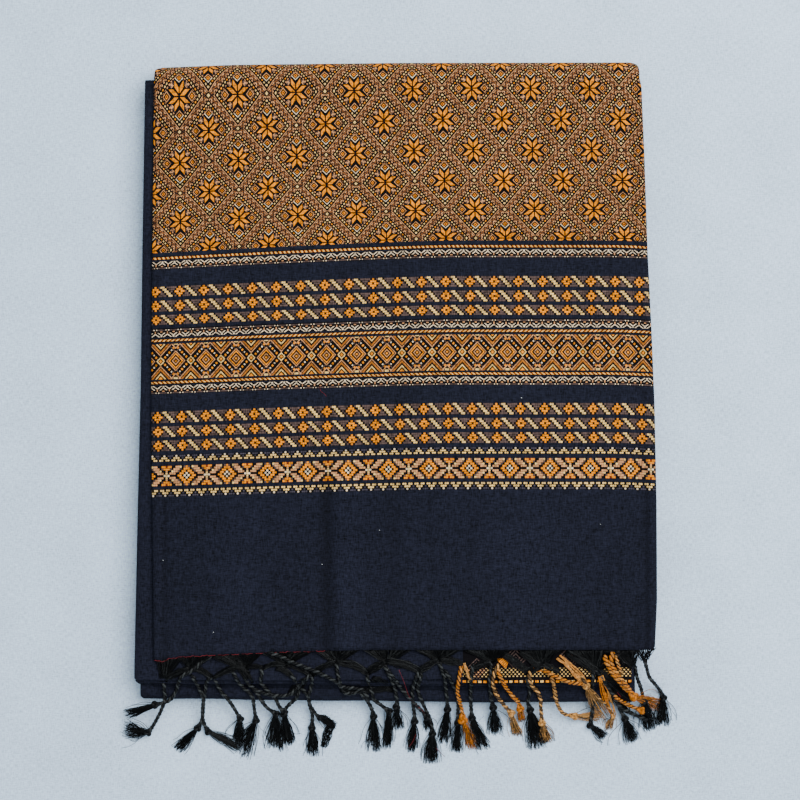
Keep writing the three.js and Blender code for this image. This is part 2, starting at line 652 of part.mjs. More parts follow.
const MIDDLE_STRANDS = [
  { route: [[261, 667], [257, 684], [263, 702], [275.7, 713.7]], tip: [276, 746], spread: 6 },
  { route: [[261, 667], [261, 682], [267, 690], [278, 702], [285, 712]], tip: [292, 742], spread: 3 },
  { route: [[289, 656], [289.5, 672], [299, 686], [308, 699], [312, 727]], tip: [313.8, 755], spread: 4 },
  { route: [[311, 673], [312, 690], [314, 703], [320, 716]], tip: [334, 727], spread: 3 },
  { route: [[266, 656], [293, 662.5], [317, 672], [342, 687], [362, 690]] },
  { route: [[336.3, 663], [338, 675], [346, 692], [362, 696], [373.5, 715.4]], tip: [374, 751], spread: 5 },
  { route: [[368, 671], [370, 686], [376, 700], [388.7, 711]], tip: [387, 747], spread: 3 },
  { route: [[385.7, 663], [390, 676], [395, 689], [397, 706]], tip: [399, 729], spread: 3 },
  { route: [[385.7, 663], [401, 688], [415, 704], [426.4, 716]], tip: [431, 727], spread: 2 },
  { route: [[419.5, 669], [415, 682], [412.5, 696], [414.7, 720.6]], tip: [411, 751], spread: 4 },
  { route: [[419.5, 669], [418.5, 688], [426, 710], [432.5, 732.7]], tip: [431, 761], spread: 5 },
  { route: [[439.3, 661], [444.5, 678], [447, 699], [447.5, 708.5]], tip: [441, 742], spread: 4 },
  { route: [[439.3, 661], [449, 684], [453, 704], [454.5, 722]], tip: [455, 750], spread: 3 },
];
const MIDDLE_GATHERS = [
  { from: 254, to: 276, knot: [261, 667] }, { from: 298, to: 322, knot: [311, 673] },
  { from: 325, to: 350, knot: [336.3, 663] }, { from: 354, to: 373, knot: [368, 671] },
  { from: 376, to: 402, knot: [385.7, 663] }, { from: 408, to: 428, knot: [419.5, 669] },
  { from: 428, to: 447, knot: [439.3, 661] },
];
const RIGHT_STRANDS = [
  { route: [[474, 655], [472, 670], [471, 690], [471.5, 714]], tip: [485, 748], spread: 4 },
  { route: [[489.5, 662], [490, 681], [491, 697], [493, 706.7]], tip: [497, 733], spread: 4 },
  { route: [[529, 672], [527.5, 682], [529, 695], [529.5, 710]], tip: [534, 747], spread: 4 },
  { route: [[594, 669], [595.5, 685], [595, 705], [591, 725]], tip: [605, 738], spread: 3 },
  { route: [[594, 669], [607, 686], [618, 704], [624.6, 718]], tip: [630, 742], spread: 5 },
  { route: [[607, 686], [619, 702], [631, 712], [647, 720]] },
  { route: [[635.8, 664], [637, 678], [641, 690], [645, 707]], tip: [649, 728], spread: 4 },
  { route: [[644.6, 660], [648, 675], [655, 684], [662, 697]], tip: [661, 724], spread: 4 },
];
const RIGHT_GATHERS = [
  { from: 466, to: 509, knot: [489.5, 662] }, { from: 511, to: 549, knot: [529, 672] },
  { from: 560, to: 612, knot: [594, 669] }, { from: 620, to: 640, knot: [635.8, 664] },
  { from: 640, to: 654, knot: [644.6, 660] },
];
const GOLD_STRANDS = [
  { route: [[463, 651], [461, 670], [458.5, 687], [461.8, 706], [462.7, 719]], tip: [473, 747], spread: 3 },
  { route: [[503, 651], [500, 668], [499, 684], [504, 700], [512, 713]], tip: [519, 734], spread: 3 },
  { route: [[500, 651], [499, 671], [507, 689], [517, 701]] },
  { route: [[539, 651], [538, 670], [537, 690], [541, 706], [542, 722]], tip: [549, 742], spread: 3 },
  { route: [[553, 651], [553.5, 682], [556, 699], [562, 712], [573, 716]], tip: [585, 716], spread: 1.5 },
  { route: [[560, 651], [570, 664], [579, 673], [583.5, 684]], tip: [585, 700], spread: 1.5 },
  { route: [[607, 651], [608, 664], [613, 674], [620, 682], [631, 695]], tip: [636, 702], spread: 1 },
];

/** The four runs of fringe, each on its own strip. */
function fringeRuns(blackYarn, goldYarn) {
  const blackStrip = { setback: 0, top: PALLU_TOP, thickness: STRIP_THICKNESS };
  const left = { ...blackStrip, from: -139, to: -83 };
  const middle = { ...blackStrip, from: -82.6, to: 30.6 };
  const right = { ...blackStrip, from: 31, to: 149 };
  const gold = { from: 33, to: 139, setback: UNDER_SETBACK.hem, top: UNDER_TOP, thickness: UNDER_WALL };
  return [
    part('fringe_black_left', fringe(left, LEFT_STRANDS, LEFT_GATHERS, BLACK), blackYarn),
    part('fringe_black_middle', fringe(middle, MIDDLE_STRANDS, MIDDLE_GATHERS, BLACK), blackYarn),
    part('fringe_black_right', fringe(right, RIGHT_STRANDS, RIGHT_GATHERS, BLACK), blackYarn),
    part('fringe_gold', fringe(gold, GOLD_STRANDS, [], GOLD), goldYarn),
  ];
}

const navyCloth = new THREE.MeshStandardMaterial({ color: 0x1f2436, roughness: 0.85, metalness: 0 });
const palluCloth = new THREE.MeshStandardMaterial({ color: 0x8a6238, roughness: 0.8, metalness: 0 });
const blackYarn = new THREE.MeshStandardMaterial({ color: 0x17181c, roughness: 0.6, metalness: 0 });
const goldYarn = new THREE.MeshStandardMaterial({ color: 0xd98a32, roughness: 0.55, metalness: 0 });

const group = new THREE.Group();
group.add(
  part('folded_core', foldedCore(), navyCloth),
  part('lower_body_fold', lowerBodyFold(), navyCloth),
  part('upper_body_turn', upperBodyTurn(), navyCloth),
  part('pallu_under_quarter', palluUnderQuarter(), palluCloth),
  part('pallu_flap', palluFlap(), palluCloth),
  ...fringeRuns(blackYarn, goldYarn),
);

export default group;
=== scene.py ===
"""A saree folded flat on a pale floor and seen from straight above, dressed over its CAD part."""

import logging
from collections.abc import Callable, Sequence
from dataclasses import dataclass
from enum import Enum

import bpy
import numpy as np
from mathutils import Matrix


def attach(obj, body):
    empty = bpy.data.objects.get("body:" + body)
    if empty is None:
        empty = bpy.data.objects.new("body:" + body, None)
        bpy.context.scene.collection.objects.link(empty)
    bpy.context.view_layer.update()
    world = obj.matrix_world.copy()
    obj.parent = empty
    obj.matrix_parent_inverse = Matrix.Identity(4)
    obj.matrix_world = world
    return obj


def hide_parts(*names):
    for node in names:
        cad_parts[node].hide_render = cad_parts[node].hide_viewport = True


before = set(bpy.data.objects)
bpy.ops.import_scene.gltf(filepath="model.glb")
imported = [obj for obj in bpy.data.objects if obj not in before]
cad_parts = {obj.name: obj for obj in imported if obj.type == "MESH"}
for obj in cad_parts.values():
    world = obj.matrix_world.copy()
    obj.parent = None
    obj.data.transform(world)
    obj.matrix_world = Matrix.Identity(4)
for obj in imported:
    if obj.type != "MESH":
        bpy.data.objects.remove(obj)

LOG = logging.getLogger("saree")
MM = 0.001
Amount = float | np.ndarray
Colour = tuple[float, float, float, float]
Rows = Sequence[tuple[float, float]]
Value = "Shade | float"


def lerp(a: Amount, b: Amount, share: Amount) -> Amount:
    """Value that share of the way from a to b."""
    return a + (b - a) * share


def ease(value: Amount) -> Amount:
    """Smooth step of a value, held between 0 and 1."""
    held = np.clip(value, 0.0, 1.0)
    return held * held * (3.0 - 2.0 * held)


def table(rows: Rows, at: Amount) -> Amount:
    """Straight interpolation in a table.

    Args:
        rows: pairs of key and value, with rising keys.
        at: keys to look up, as an array or a number.

    Returns:
        The values there, held at the ends.
    """
    keys, values = zip(*rows)
    return np.interp(at, keys, values)


def corners(grid: np.ndarray) -> np.ndarray:
    """A grid's values at the corners of each of its faces, as (rows - 1, columns - 1, 4)."""
    return np.stack([grid[:-1, :-1], grid[1:, :-1], grid[1:, 1:], grid[:-1, 1:]], axis=-1)


def spaced(near: Sequence[float], count: int) -> np.ndarray:
    """Even shares from 0 to 1, with more of them near both ends.

    Args:
        near: the extra shares, counted in from an end.
        count: how many even ones.

    Returns:
        The shares, as one row.
    """
    edge = np.array(near)
    return np.unique(np.concatenate([edge, 1 - edge, np.linspace(0, 1, count)]))[None, :]


def rolled(distance: np.ndarray, reach: float, drop: float) -> np.ndarray:
    """Drop of a rolled edge at a distance in from it, as a quarter round over its reach."""
    share = np.clip(1 - distance / reach, 0, 1)
    return drop * (1 - np.sqrt(np.maximum(1 - share ** 2, 0)))


class Outline:
    """Edges of the folded cloth in millimetres, as in the CAD part.

    The hem alone is in the photograph's pixels: how far it hangs below its row, by column.
    """

    flap_left = [(-160, -139.9), (-68, -140.8), (-11, -141.4), (75, -140.8), (182, -139.6)]
    flap_right = [(-155, 149.7), (-126, 150.9), (-69, 150.6), (-11, 149.4), (30, 147.7),
                  (76, 145.4), (128, 143.7), (171, 141.9), (180, 139.5), (184, 137.0)]
    flap_top = [(-140, 181.9), (-93, 183.7), (2, 184.8), (142, 185.1)]
    upper_left = [(-174, -151.4), (-80, -149.5), (-8, -147.8), (85, -146.6), (174, -145.2)]
    upper_right = [(-174, 137.5), (174, 136.5)]
    upper_bottom = [(-151, -174.2), (-60, -175.6), (20, -177.5), (138, -177.5)]
    lower_left = [(-187, -148.8), (174, -143.5)]
    lower_right = [(-187, 139.0), (174, 136.5)]
    lower_bottom = [(-149, -185.1), (-60, -185.9), (25, -187.1), (139, -187.1)]
    turns = (
        (16.5, ((-151, 0.9), (-60, 2.3), (20, 4.7), (27, 4.7), (36, 2.7), (138, 2.7))),
        (14.5, ((-151, -1.0), (-60, 0.2), (20, 1.8), (138, 1.8))),
        (12.5, ((-151, -1.2), (-60, -0.4), (20, 0.4), (138, 0.4))),
    )
    hem = [(155, 11), (182, 7), (213, 5), (235, 4), (280, 2), (325, 1), (360, 0)]
    hem_row = 650.0
    north = 173.9
    flap_z = 19.6
    under_z = 17.9
    lower_z = 10.2
    fold_radius = 9.8


@dataclass(frozen=True)
class Cuts:
    """Flat width and length of each sheet in metres.

    A width is the photograph's, between the sheet's edges, and a length is the photograph's from the fold to
    the hem or to the far fold, with pi times each fold's radius and 10 mm of what returns under a turn.
    """

    end_panel: tuple[float, float] = (0.290, 0.359)
    under_quarter: tuple[float, float] = (0.273, 0.327)
    upper_turns: tuple[tuple[float, float], ...] = ((0.285, 0.360), (0.284, 0.362), (0.283, 0.363))
    lower_turn: tuple[float, float] = (0.284, 0.381)


@dataclass(frozen=True)
class PhotoView:
    """The photograph's view, straight down, which ties its pixels to millimetres."""

    middle: float = 400.0
    x: float = 2.3
    y: float = -10.95
    height: float = 1250.0
    top: float = Outline.flap_z
    pitch: float = 0.5765
    sensor: float = 36.0

    def pitch_at(self, z: Amount) -> Amount:
        """Millimetres a pixel spans at height z."""
        return self.pitch * (self.height - z) / (self.height - self.top)

    def place(self, u: Amount, v: Amount, z: Amount) -> tuple[Amount, Amount]:
        """Point under pixel (u, v) at height z, as x and y in millimetres."""
        pitch = self.pitch_at(z)
        return self.x + (u - self.middle) * pitch, self.y - (v - self.middle) * pitch

    def column(self, x: Amount) -> Amount:
        """Pixel column of a point of the top face."""
        return self.middle + (x - self.x) / self.pitch

    def row(self, y: Amount) -> Amount:
        """Pixel row of a point of the top face."""
        return self.middle - (y - self.y) / self.pitch

    def level(self, v: Amount) -> Amount:
        """Millimetres up the top face of a pixel row."""
        return self.y - (v - self.middle) * self.pitch

    def camera(self) -> bpy.types.Object:
        """Camera at the photograph's place, set as the scene's camera.

        Its lens is half the sensor times the distance to the top face, over half the picture's width there.

        Returns:
            The camera.
        """
        data = bpy.data.cameras.new("photo_view")
        data.sensor_width = self.sensor
        data.lens = self.sensor / 2 * (self.height - self.top) / (self.middle * self.pitch)
        data.clip_start, data.clip_end = 0.05, 20.0
        camera = bpy.data.objects.new("photo_view", data)
        camera.location = (self.x * MM, self.y * MM, self.height * MM)
        bpy.context.scene.collection.objects.link(camera)
        bpy.context.scene.camera = camera
        return camera


VIEW = PhotoView()


class MeshMaker:
    """Gathers points, faces and their marks, and makes one mesh object of them."""

    def __init__(self, name: str) -> None:
        """Starts an empty mesh.

        Args:
            name: name of the object that it becomes.
        """
        self.name = name
        self.points: list[np.ndarray] = []
        self.tints: list[np.ndarray] = []
        self.faces: list[list[int]] = []
        self.uvs: list[np.ndarray] = []
        self.slots: list[np.ndarray] = []
        self.count = 0

    def add(self, points: np.ndarray, faces: np.ndarray, uv: np.ndarray | None = None,
            slots: np.ndarray | None = None, tint: Amount = 0.5) -> None:
        """Adds a batch.

        Args:
            points: array (n, 3) in millimetres.
            faces: array (m, k) of point numbers inside the batch.
            uv: array (m, k, 2), one place in the weave per corner, or None.
            slots: material number of each face, or None.
            tint: one number for the batch, or one per point.
        """
        points = np.asarray(points, dtype=float).reshape(-1, 3)
        faces = np.asarray(faces, dtype=int)
        self.points.append(points)
        self.tints.append(np.broadcast_to(np.asarray(tint, dtype=float), (len(points),)))
        self.faces.extend((faces + self.count).tolist())
        blank = np.zeros((faces.shape[0], faces.shape[1], 2))
        self.uvs.append((blank if uv is None else np.asarray(uv)).reshape(-1, 2))
        self.slots.append(np.zeros(len(faces), dtype=int) if slots is None else np.asarray(slots, dtype=int))
        self.count += len(points)

    def add_grid(self, grid: np.ndarray, uv: np.ndarray | None = None, slots: Sequence[int] | None = None,
                 tint: Amount = 0.5) -> None:
        """Adds a grid of points (rows, columns, 3) whose rows run down and whose columns run right.

        Args:
            grid: the points.
            uv: array (rows - 1, columns - 1, 4, 2), or None.
            slots: material number of each row of faces, or None.
            tint: as in add.
        """
        rows, columns = grid.shape[:2]
        faces = corners(np.arange(rows * columns).reshape(rows, columns)).reshape(-1, 4)
        each = None if slots is None else np.repeat(np.asarray(slots), columns - 1)
        self.add(grid.reshape(-1, 3), faces, None if uv is None else uv.reshape(-1, 4, 2), each, tint)

    def add_tubes(self, paths: np.ndarray, radii: Amount, sides: int, tints: Amount = 0.5) -> None:
        """Adds tubes of the same length in steps.

        A ring is the path's point plus its radius times the cosine and sine of an even angle, along two
        directions square to the path, the first of them level.

        Args:
            paths: array (tubes, rings, 3) of centrelines.
            radii: radius, broadcast to (tubes, rings).
            sides: sides of a ring.
            tints: one number a tube, or one for all.
        """
        paths = np.asarray(paths, dtype=float)
        tubes, rings = paths.shape[:2]
        along = np.gradient(paths, axis=1)
        along /= np.linalg.norm(along, axis=2, keepdims=True) + 1e-9
        across = np.cross(along, np.array([0.0, 0.0, 1.0]))
        across += np.array([1e-6, 2e-6, 0.0])
        across /= np.linalg.norm(across, axis=2, keepdims=True)
        up = np.cross(across, along)
        angle = (np.arange(sides) * 2 * np.pi / sides)[:, None]
        radius = np.broadcast_to(radii, (tubes, rings))[:, :, None, None]
        ring = np.cos(angle) * across[:, :, None] + np.sin(angle) * up[:, :, None]
        points = paths[:, :, None] + radius * ring
        numbers = np.arange(tubes * rings * sides).reshape(tubes, rings, sides)
        here, following = numbers[:, :-1], numbers[:, 1:]
        faces = np.stack([here, np.roll(here, -1, axis=2), np.roll(following, -1, axis=2), following], axis=-1)
        tint = np.repeat(np.broadcast_to(tints, (tubes,)), rings * sides)
        start = self.count
        self.add(points.reshape(-1, 3), faces.reshape(-1, 4), tint=tint)
        ends = np.concatenate([numbers[:, 0, ::-1], numbers[:, -1]]) + start
        self.faces.extend(ends.tolist())
        self.uvs.append(np.zeros((ends.size, 2)))
        self.slots.append(np.zeros(len(ends), dtype=int))

    def make(self, materials: Sequence[bpy.types.Material]) -> bpy.types.Object:
        """Makes the object, smooth and with its materials, and links it to the scene.

        Args:
            materials: the materials, in the order of their numbers.

        Returns:
            The object.
        """
        mesh = bpy.data.meshes.new(self.name)
        mesh.from_pydata((np.concatenate(self.points) * MM).tolist(), [], self.faces)
        for material in materials:
            mesh.materials.append(material)
        layer = mesh.uv_layers.new(name="Weave")
        layer.data.foreach_set("uv", np.concatenate(self.uvs).ravel())
        mesh.polygons.foreach_set("material_index", np.concatenate(self.slots))
        mesh.attributes.new("tint", "FLOAT", "POINT").data.foreach_set("value", np.concatenate(self.tints))
        mesh.shade_smooth()
        thing = bpy.data.objects.new(self.name, mesh)
        bpy.context.scene.collection.objects.link(thing)
        return thing


def thicken(thing: bpy.types.Object, millimetres: float) -> None:
    """Gives a single skin a wall, inward from its face.

    Args:
        thing: the skin.
        millimetres: the wall's thickness.
    """
    modifier = thing.modifiers.new("wall", "SOLIDIFY")
    modifier.thickness = millimetres * MM
    modifier.offset = -1.0
    modifier.use_even_offset = False


def declare(thing: bpy.types.Object, nodes: Sequence[str]) -> None:
    """Ties a folded sheet to the CAD frame.

    Args:
        thing: the sheet.
        slot: its cloth in the record.
        nodes: the CAD nodes that it replaces.
        flat: width and length of its cut in metres.
        rests_on: names of the pieces that it lies on.
        with_pieces: pieces that are part of its cloth.
    """
    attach(thing, "root")
    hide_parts(*nodes)


def tone(red: float, green: float, blue: float, gain: float = 1.0) -> Colour:
    """Linear colour of screen values from 0 to 255, times a gain."""
    linear = [gain * ((value / 255 + 0.055) / 1.055) ** 2.4 if value > 10 else gain * value / 255 / 12.92
              for value in (red, green, blue)]
    return (*linear, 1.0)


class Thread(Enum):
    """Colours of the woven threads, by the letter that a chart names them with."""

    BLACK = "k"
    NAVY = "n"
    ORANGE = "o"
    GOLD = "v"
    BEIGE = "g"
    CREAM = "c"
    WHITE = "y"
    BROWN = "b"
    RUST = "r"
    SLATE = "d"
    UMBER = "u"

    @property
    def colour(self) -> Colour:
        """Linear colour of the thread."""
        return THREAD_COLOURS[self]


THREAD_COLOURS = {
    Thread.BLACK: tone(8, 5, 8),
    Thread.NAVY: tone(25, 26, 38, 0.86),
    Thread.ORANGE: tone(255, 146, 4, 0.8),
    Thread.GOLD: tone(184, 106, 34, 0.8),
    Thread.BEIGE: tone(216, 150, 98, 0.78),
    Thread.CREAM: tone(255, 206, 124, 0.755),
    Thread.WHITE: tone(255, 224, 184, 0.775),
    Thread.BROWN: tone(82, 64, 58),
    Thread.RUST: tone(104, 34, 20),
    Thread.SLATE: tone(60, 54, 62),
    Thread.UMBER: tone(92, 56, 38),
}


def two_sided(operation: str, words: str, reflected: bool = False) -> Callable[["Shade", Value], "Shade"]:
    """Makes a method of a shade that works on it and on another value.

    Args:
        operation: the maths node's operation.
        words: the method's docstring.
        reflected: whether the other value comes first.

    Returns:
        The method.
    """
    def method(shade: "Shade", other: Value) -> "Shade":
        """The operation on both."""
        return shade._math(operation, *((other, shade) if reflected else (shade, other)))

    method.__doc__ = words
    return method


class Shade:
    """A value in a shader, so that formulas read as arithmetic."""

    def __init__(self, tree: bpy.types.NodeTree, socket: bpy.types.NodeSocket) -> None:
        """Wraps a socket of the tree."""
        self.tree = tree
        self.socket = socket

    def _math(self, operation: str, *values: Value) -> "Shade":
        """Maths node of that operation on the values, in order.

        Args:
            operation: the node's operation.
            values: shades or numbers.

        Returns:
            The node's result.
        """
        node = self.tree.nodes.new("ShaderNodeMath")
        node.operation = operation
        for place, value in enumerate(values):
            if isinstance(value, Shade):
                self.tree.links.new(value.socket, node.inputs[place])
            else:
                node.inputs[place].default_value = float(value)
        return Shade(self.tree, node.outputs[0])

    __add__ = two_sided("ADD", "Sum.")
    __radd__ = two_sided("ADD", "Sum, reflected.", True)
    __sub__ = two_sided("SUBTRACT", "Difference.")
    __rsub__ = two_sided("SUBTRACT", "Difference, reflected.", True)
    __mul__ = two_sided("MULTIPLY", "Product.")
    __rmul__ = two_sided("MULTIPLY", "Product, reflected.", True)
    __truediv__ = two_sided("DIVIDE", "Quotient.")
    __rtruediv__ = two_sided("DIVIDE", "Quotient, reflected.", True)
    __lt__ = two_sided("LESS_THAN", "1 where it is below, else 0.")
    __gt__ = two_sided("GREATER_THAN", "1 where it is above, else 0.")
    __and__ = two_sided("MULTIPLY", "1 where both masks are.")
    __or__ = two_sided("MAXIMUM", "1 where either mask is.")
    least = two_sided("MINIMUM", "The smaller one.")
    most = two_sided("MAXIMUM", "The larger one.")

    def __abs__(self) -> "Shade":
        """Size without sign."""
        return self._math("ABSOLUTE", self)

    def floor(self) -> "Shade":
        """Whole number below."""
        return self._math("FLOOR", self)

    def wrap(self, period: float) -> "Shade":
        """Place within a repeat, from 0 to the period."""
        return self._math("WRAP", self, period, 0.0)

    def fold(self, half: float) -> "Shade":
        """Distance from the nearest whole repeat of twice half."""
        return self._math("PINGPONG", self, half)

    def within(self, low: Value, high: Value) -> "Shade":
        """1 between low and high, else 0."""
        return (self > low) & (self < high)


class Palette:
    """The node tree of one material."""

    def __init__(self, name: str) -> None:
        """Starts a material with a Principled shader.

        Args:
            name: the material's name.
        """
        self.material = bpy.data.materials.new(name)
        self.material.use_nodes = True
        self.tree = self.material.node_tree
        self.shader = self.tree.nodes["Principled BSDF"]

    def node(self, kind: str, settings: dict | None = None, inputs: dict | None = None) -> bpy.types.Node:
        """Adds a node.

        Args:
            kind: its type.
            settings: its properties, and for a ramp its stops as (place, colour) pairs, which are set first.
            inputs: values or shades by input name or number.

        Returns:
            The node.
        """
        node = self.tree.nodes.new(kind)
        for key, value in (settings or {}).items():
            if key == "stops":
                ramp = node.color_ramp
                while len(ramp.elements) > 1:
                    ramp.elements.remove(ramp.elements[-1])
                ramp.elements[0].position, ramp.elements[0].color = value[0]
                for place, colour in value[1:]:
                    ramp.elements.new(place).color = colour
                ramp.interpolation = "CONSTANT"
            else:
                setattr(node, key, value)
        for key, value in (inputs or {}).items():
            if isinstance(value, Shade):
                self.tree.links.new(value.socket, node.inputs[key])
            else:
                node.inputs[key].default_value = value
        return node

    def out(self, node: bpy.types.Node, name: int | str = 0) -> Shade:
        """An output of a node as a shade."""
        return Shade(self.tree, node.outputs[name])

    def paint(self, under: Shade | Colour, over: Shade | Colour, mask: Shade) -> Shade:
        """Colour over another where the mask is 1."""
        node = self.node("ShaderNodeMix", {"data_type": "RGBA"}, {0: mask, 6: under, 7: over})
        return self.out(node, 2)

    def layers(self, ground: Thread, *layers: tuple[Thread, Shade]) -> Shade:
        """Threads laid in turn over a ground.

        Args:
            ground: the ground's thread.
            layers: pairs of a thread and the mask that is 1 where it lies on top.

        Returns:
            The colour.
        """
        colour = ground.colour
        for thread, mask in layers:
            colour = self.paint(colour, thread.colour, mask)
        return colour

    def weave(self) -> tuple[Shade, Shade]:
        """Column and row in the weave."""
        node = self.node("ShaderNodeUVMap", {"uv_map": "Weave"})
        split = self.node("ShaderNodeSeparateXYZ", inputs={0: self.out(node)})
        return self.out(split, 0), self.out(split, 1)

    def noise(self, stretch: tuple[float, float, float]) -> Shade:
        """Noise over the object's own coordinates.

        Args:
            stretch: its scale along each axis, in repeats a metre.

        Returns:
            The noise, about 0.5 on average.
        """
        place = self.out(self.node("ShaderNodeTexCoord"), "Object")
        mapped = self.node("ShaderNodeVectorMath", {"operation": "MULTIPLY"}, {0: place, 1: stretch})
        node = self.node("ShaderNodeTexNoise", {}, {"Vector": self.out(mapped), "Scale": 1.0, "Detail": 2.0})
        return self.out(node)

    def threads(self, colour: Shade, column: Shade, row: Shade, depth: float) -> Shade:
        """Darkens a colour in the gaps between its threads.

        Args:
            colour: the colour.
            column: column in threads.
            row: row in threads.
            depth: how dark the gaps are between rows; those between columns are half that.

        Returns:
            The darkened colour.
        """
        # Painted light: 1.2 times the colour at a thread's middle, a painted highlight, down to painted shade in
        # the gaps.
        row_gap_shade = abs(row.wrap(1.0) - 0.5) * 2.0
        column_gap_shade = abs(column.wrap(1.0) - 0.5) * 2.0
        light = 1.2 - row_gap_shade * row_gap_shade * row_gap_shade * depth - column_gap_shade * column_gap_shade * column_gap_shade * (depth * 0.5)
        scaled = self.node("ShaderNodeVectorMath", {"operation": "SCALE"}, {0: colour, "Scale": light})
        return self.out(scaled)

    def chart(self, rows: tuple[str, ...], column: Shade, row: Shade) -> Shade:
        """Colour of a hand-drawn chart of threads.

        Args:
            rows: a word a row, whose letters name the threads.
            column: whole number of the column.
            row: whole number of the row.

        Returns:
            The thread's colour there.
        """
        width = len(rows[0])
        at = (column + 0.5) / width
        colour = None
        for number, letters in enumerate(rows):
            stops = [(place / width, Thread(letter).colour) for place, letter in enumerate(letters)
                     if place == 0 or letters[place - 1] != letter]
            ramp = self.out(self.node("ShaderNodeValToRGB", {"stops": stops}, {0: at}))
            colour = ramp if colour is None else self.paint(colour, ramp, row > number - 0.5)
        return colour


@dataclass(frozen=True)
class Finish:
    """Plain navy cotton, and the base of every other cloth's finish."""

    name: str = "navy_cotton"
    roughness: float = 0.9
    specular: float = 0.12
    grain: float = 0.75
    bump: float = 0.25
    fine: float = 1750.0
    long: float = 380.0
    patches: float = 25.0
    contrast: float = 6.0
    mottle: float = 0.25
    relief: float = 0.0004

    def colour(self, palette: Palette) -> Shade | Colour:
        """Colour of the cloth before its grain."""
        return Thread.NAVY.colour

    def make(self) -> bpy.types.Material:
        """Makes the material: the colour, shaded by a fine crossed grain that also raises its surface.

        The shade is 1 plus the grain and the broad patches, each less its mean and times its contrast, and
        all of it times the mark plus a half, so that a mark below a half darkens.

        Returns:
            The material.
        """
        palette = Palette(self.name)
        across = palette.noise((self.long, self.fine, self.long))
        upright = palette.noise((self.fine, self.long, self.long))
        broad = palette.noise((self.patches,) * 3)
        grain = (across + upright) * 0.5
        # The mark read here is painted shade and painted light on cloth sheets, and each strand's tone on loose
        # yarn.
        painted_shade = palette.out(palette.node("ShaderNodeAttribute", {"attribute_name": "tint"}), "Fac")
        uneven = (grain - 0.5) * (self.grain * self.contrast)
        shade = (1.0 + uneven + (broad - 0.5) * self.mottle) * (painted_shade + 0.5)
        cloth = self.colour(palette)
        base = cloth if isinstance(cloth, Shade) else cloth[:3]
        lit = palette.node("ShaderNodeVectorMath", {"operation": "SCALE"}, {0: base, "Scale": shade})
        palette.tree.links.new(lit.outputs[0], palette.shader.inputs["Base Color"])
        bump = palette.node("ShaderNodeBump", {}, {"Strength": self.bump, "Distance": self.relief, "Height": grain})
        palette.tree.links.new(bump.outputs[0], palette.shader.inputs["Normal"])
        palette.shader.inputs["Roughness"].default_value = self.roughness
        palette.shader.inputs["Specular IOR Level"].default_value = self.specular
        return palette.material


@dataclass(frozen=True)
class ChartStripe(Finish):
    """A woven stripe that repeats a hand-drawn chart."""

    thread: float = 1.995
    # How dark the painted shade between threads is.
    depth: float = 0.8
    rows: tuple[str, ...] = ()

    def colour(self, palette: Palette) -> Shade:
        """The chart, repeated at its own width in threads.

        Args:
            palette: the material's palette.

        Returns:
            The colour.
        """
        column, row = palette.weave()
        across = column / self.thread + 0.5
        chart = palette.chart(self.rows, across.wrap(len(self.rows[0])).floor(), row.floor())
        return palette.threads(chart, across, row, self.depth)


@dataclass(frozen=True)
class FlowerStripe(ChartStripe):
    """A row of small orange flowers between slanted cream stripes."""

    name: str = "flower_stripe"
    thread: float = 1.9925
    rows: tuple[str, ...] = ("okbcckbbbbbk", "ookkcckbbbko", "koobkcckbkoo", "ookbbkcckbko", "okbbbbkcckbk")


@dataclass(frozen=True)
class PyramidRow(ChartStripe):
    """A row of small stepped pyramids."""

    name: str = "pyramid_row"
    # Deeper painted shade between its threads.
    depth: float = 1.5
    rows: tuple[str, ...] = ("ykdddk", "cckdkc", "kcckcc")


@dataclass(frozen=True)
class DiamondBand(ChartStripe):
    """The band of orange diamonds, which is the same on both sides of its middle and of each diamond."""

    name: str = "diamond_band"
    middle: float = 4.5
    rows: tuple[str, ...] = ("kykookkkkyc", "ykookkgggkc", "kookbggckkg", "ookbgggkboo", "obkcggkkoor")

    def colour(self, palette: Palette) -> Shade:
        """The chart, folded about the middle row and about every diamond.

        Args:
            palette: the material's palette.

        Returns:
            The colour.
        """
        column, row = palette.weave()
        across = (column / self.thread).fold(len(self.rows[0]) - 1) + 0.5
        upward = abs(row - self.middle) + 0.5
        chart = palette.chart(self.rows, across.floor(), upward.floor())
        return palette.threads(chart, across, upward, self.depth)


@dataclass(frozen=True)
class TwistedLine(Finish):
    """A narrow line that looks like a two-coloured cord."""

    name: str = "twisted_line"
    period: float = 4.3

    def colour(self, palette: Palette) -> Shade:
        """Slanted dashes, orange and then cream, with rust between them.

        Args:
            palette: the material's palette.

        Returns:
            The colour.
        """
        column, row = palette.weave()
        phase = (column - row * 1.3).wrap(self.period)
        return palette.layers(
            Thread.RUST, (Thread.ORANGE, phase < 2.6), (Thread.CREAM, phase.within(0.9, 2.2)),
            (Thread.BLACK, phase > 3.5), (Thread.BLACK, row < 0.85), (Thread.BLACK, row > 2.95),
        )


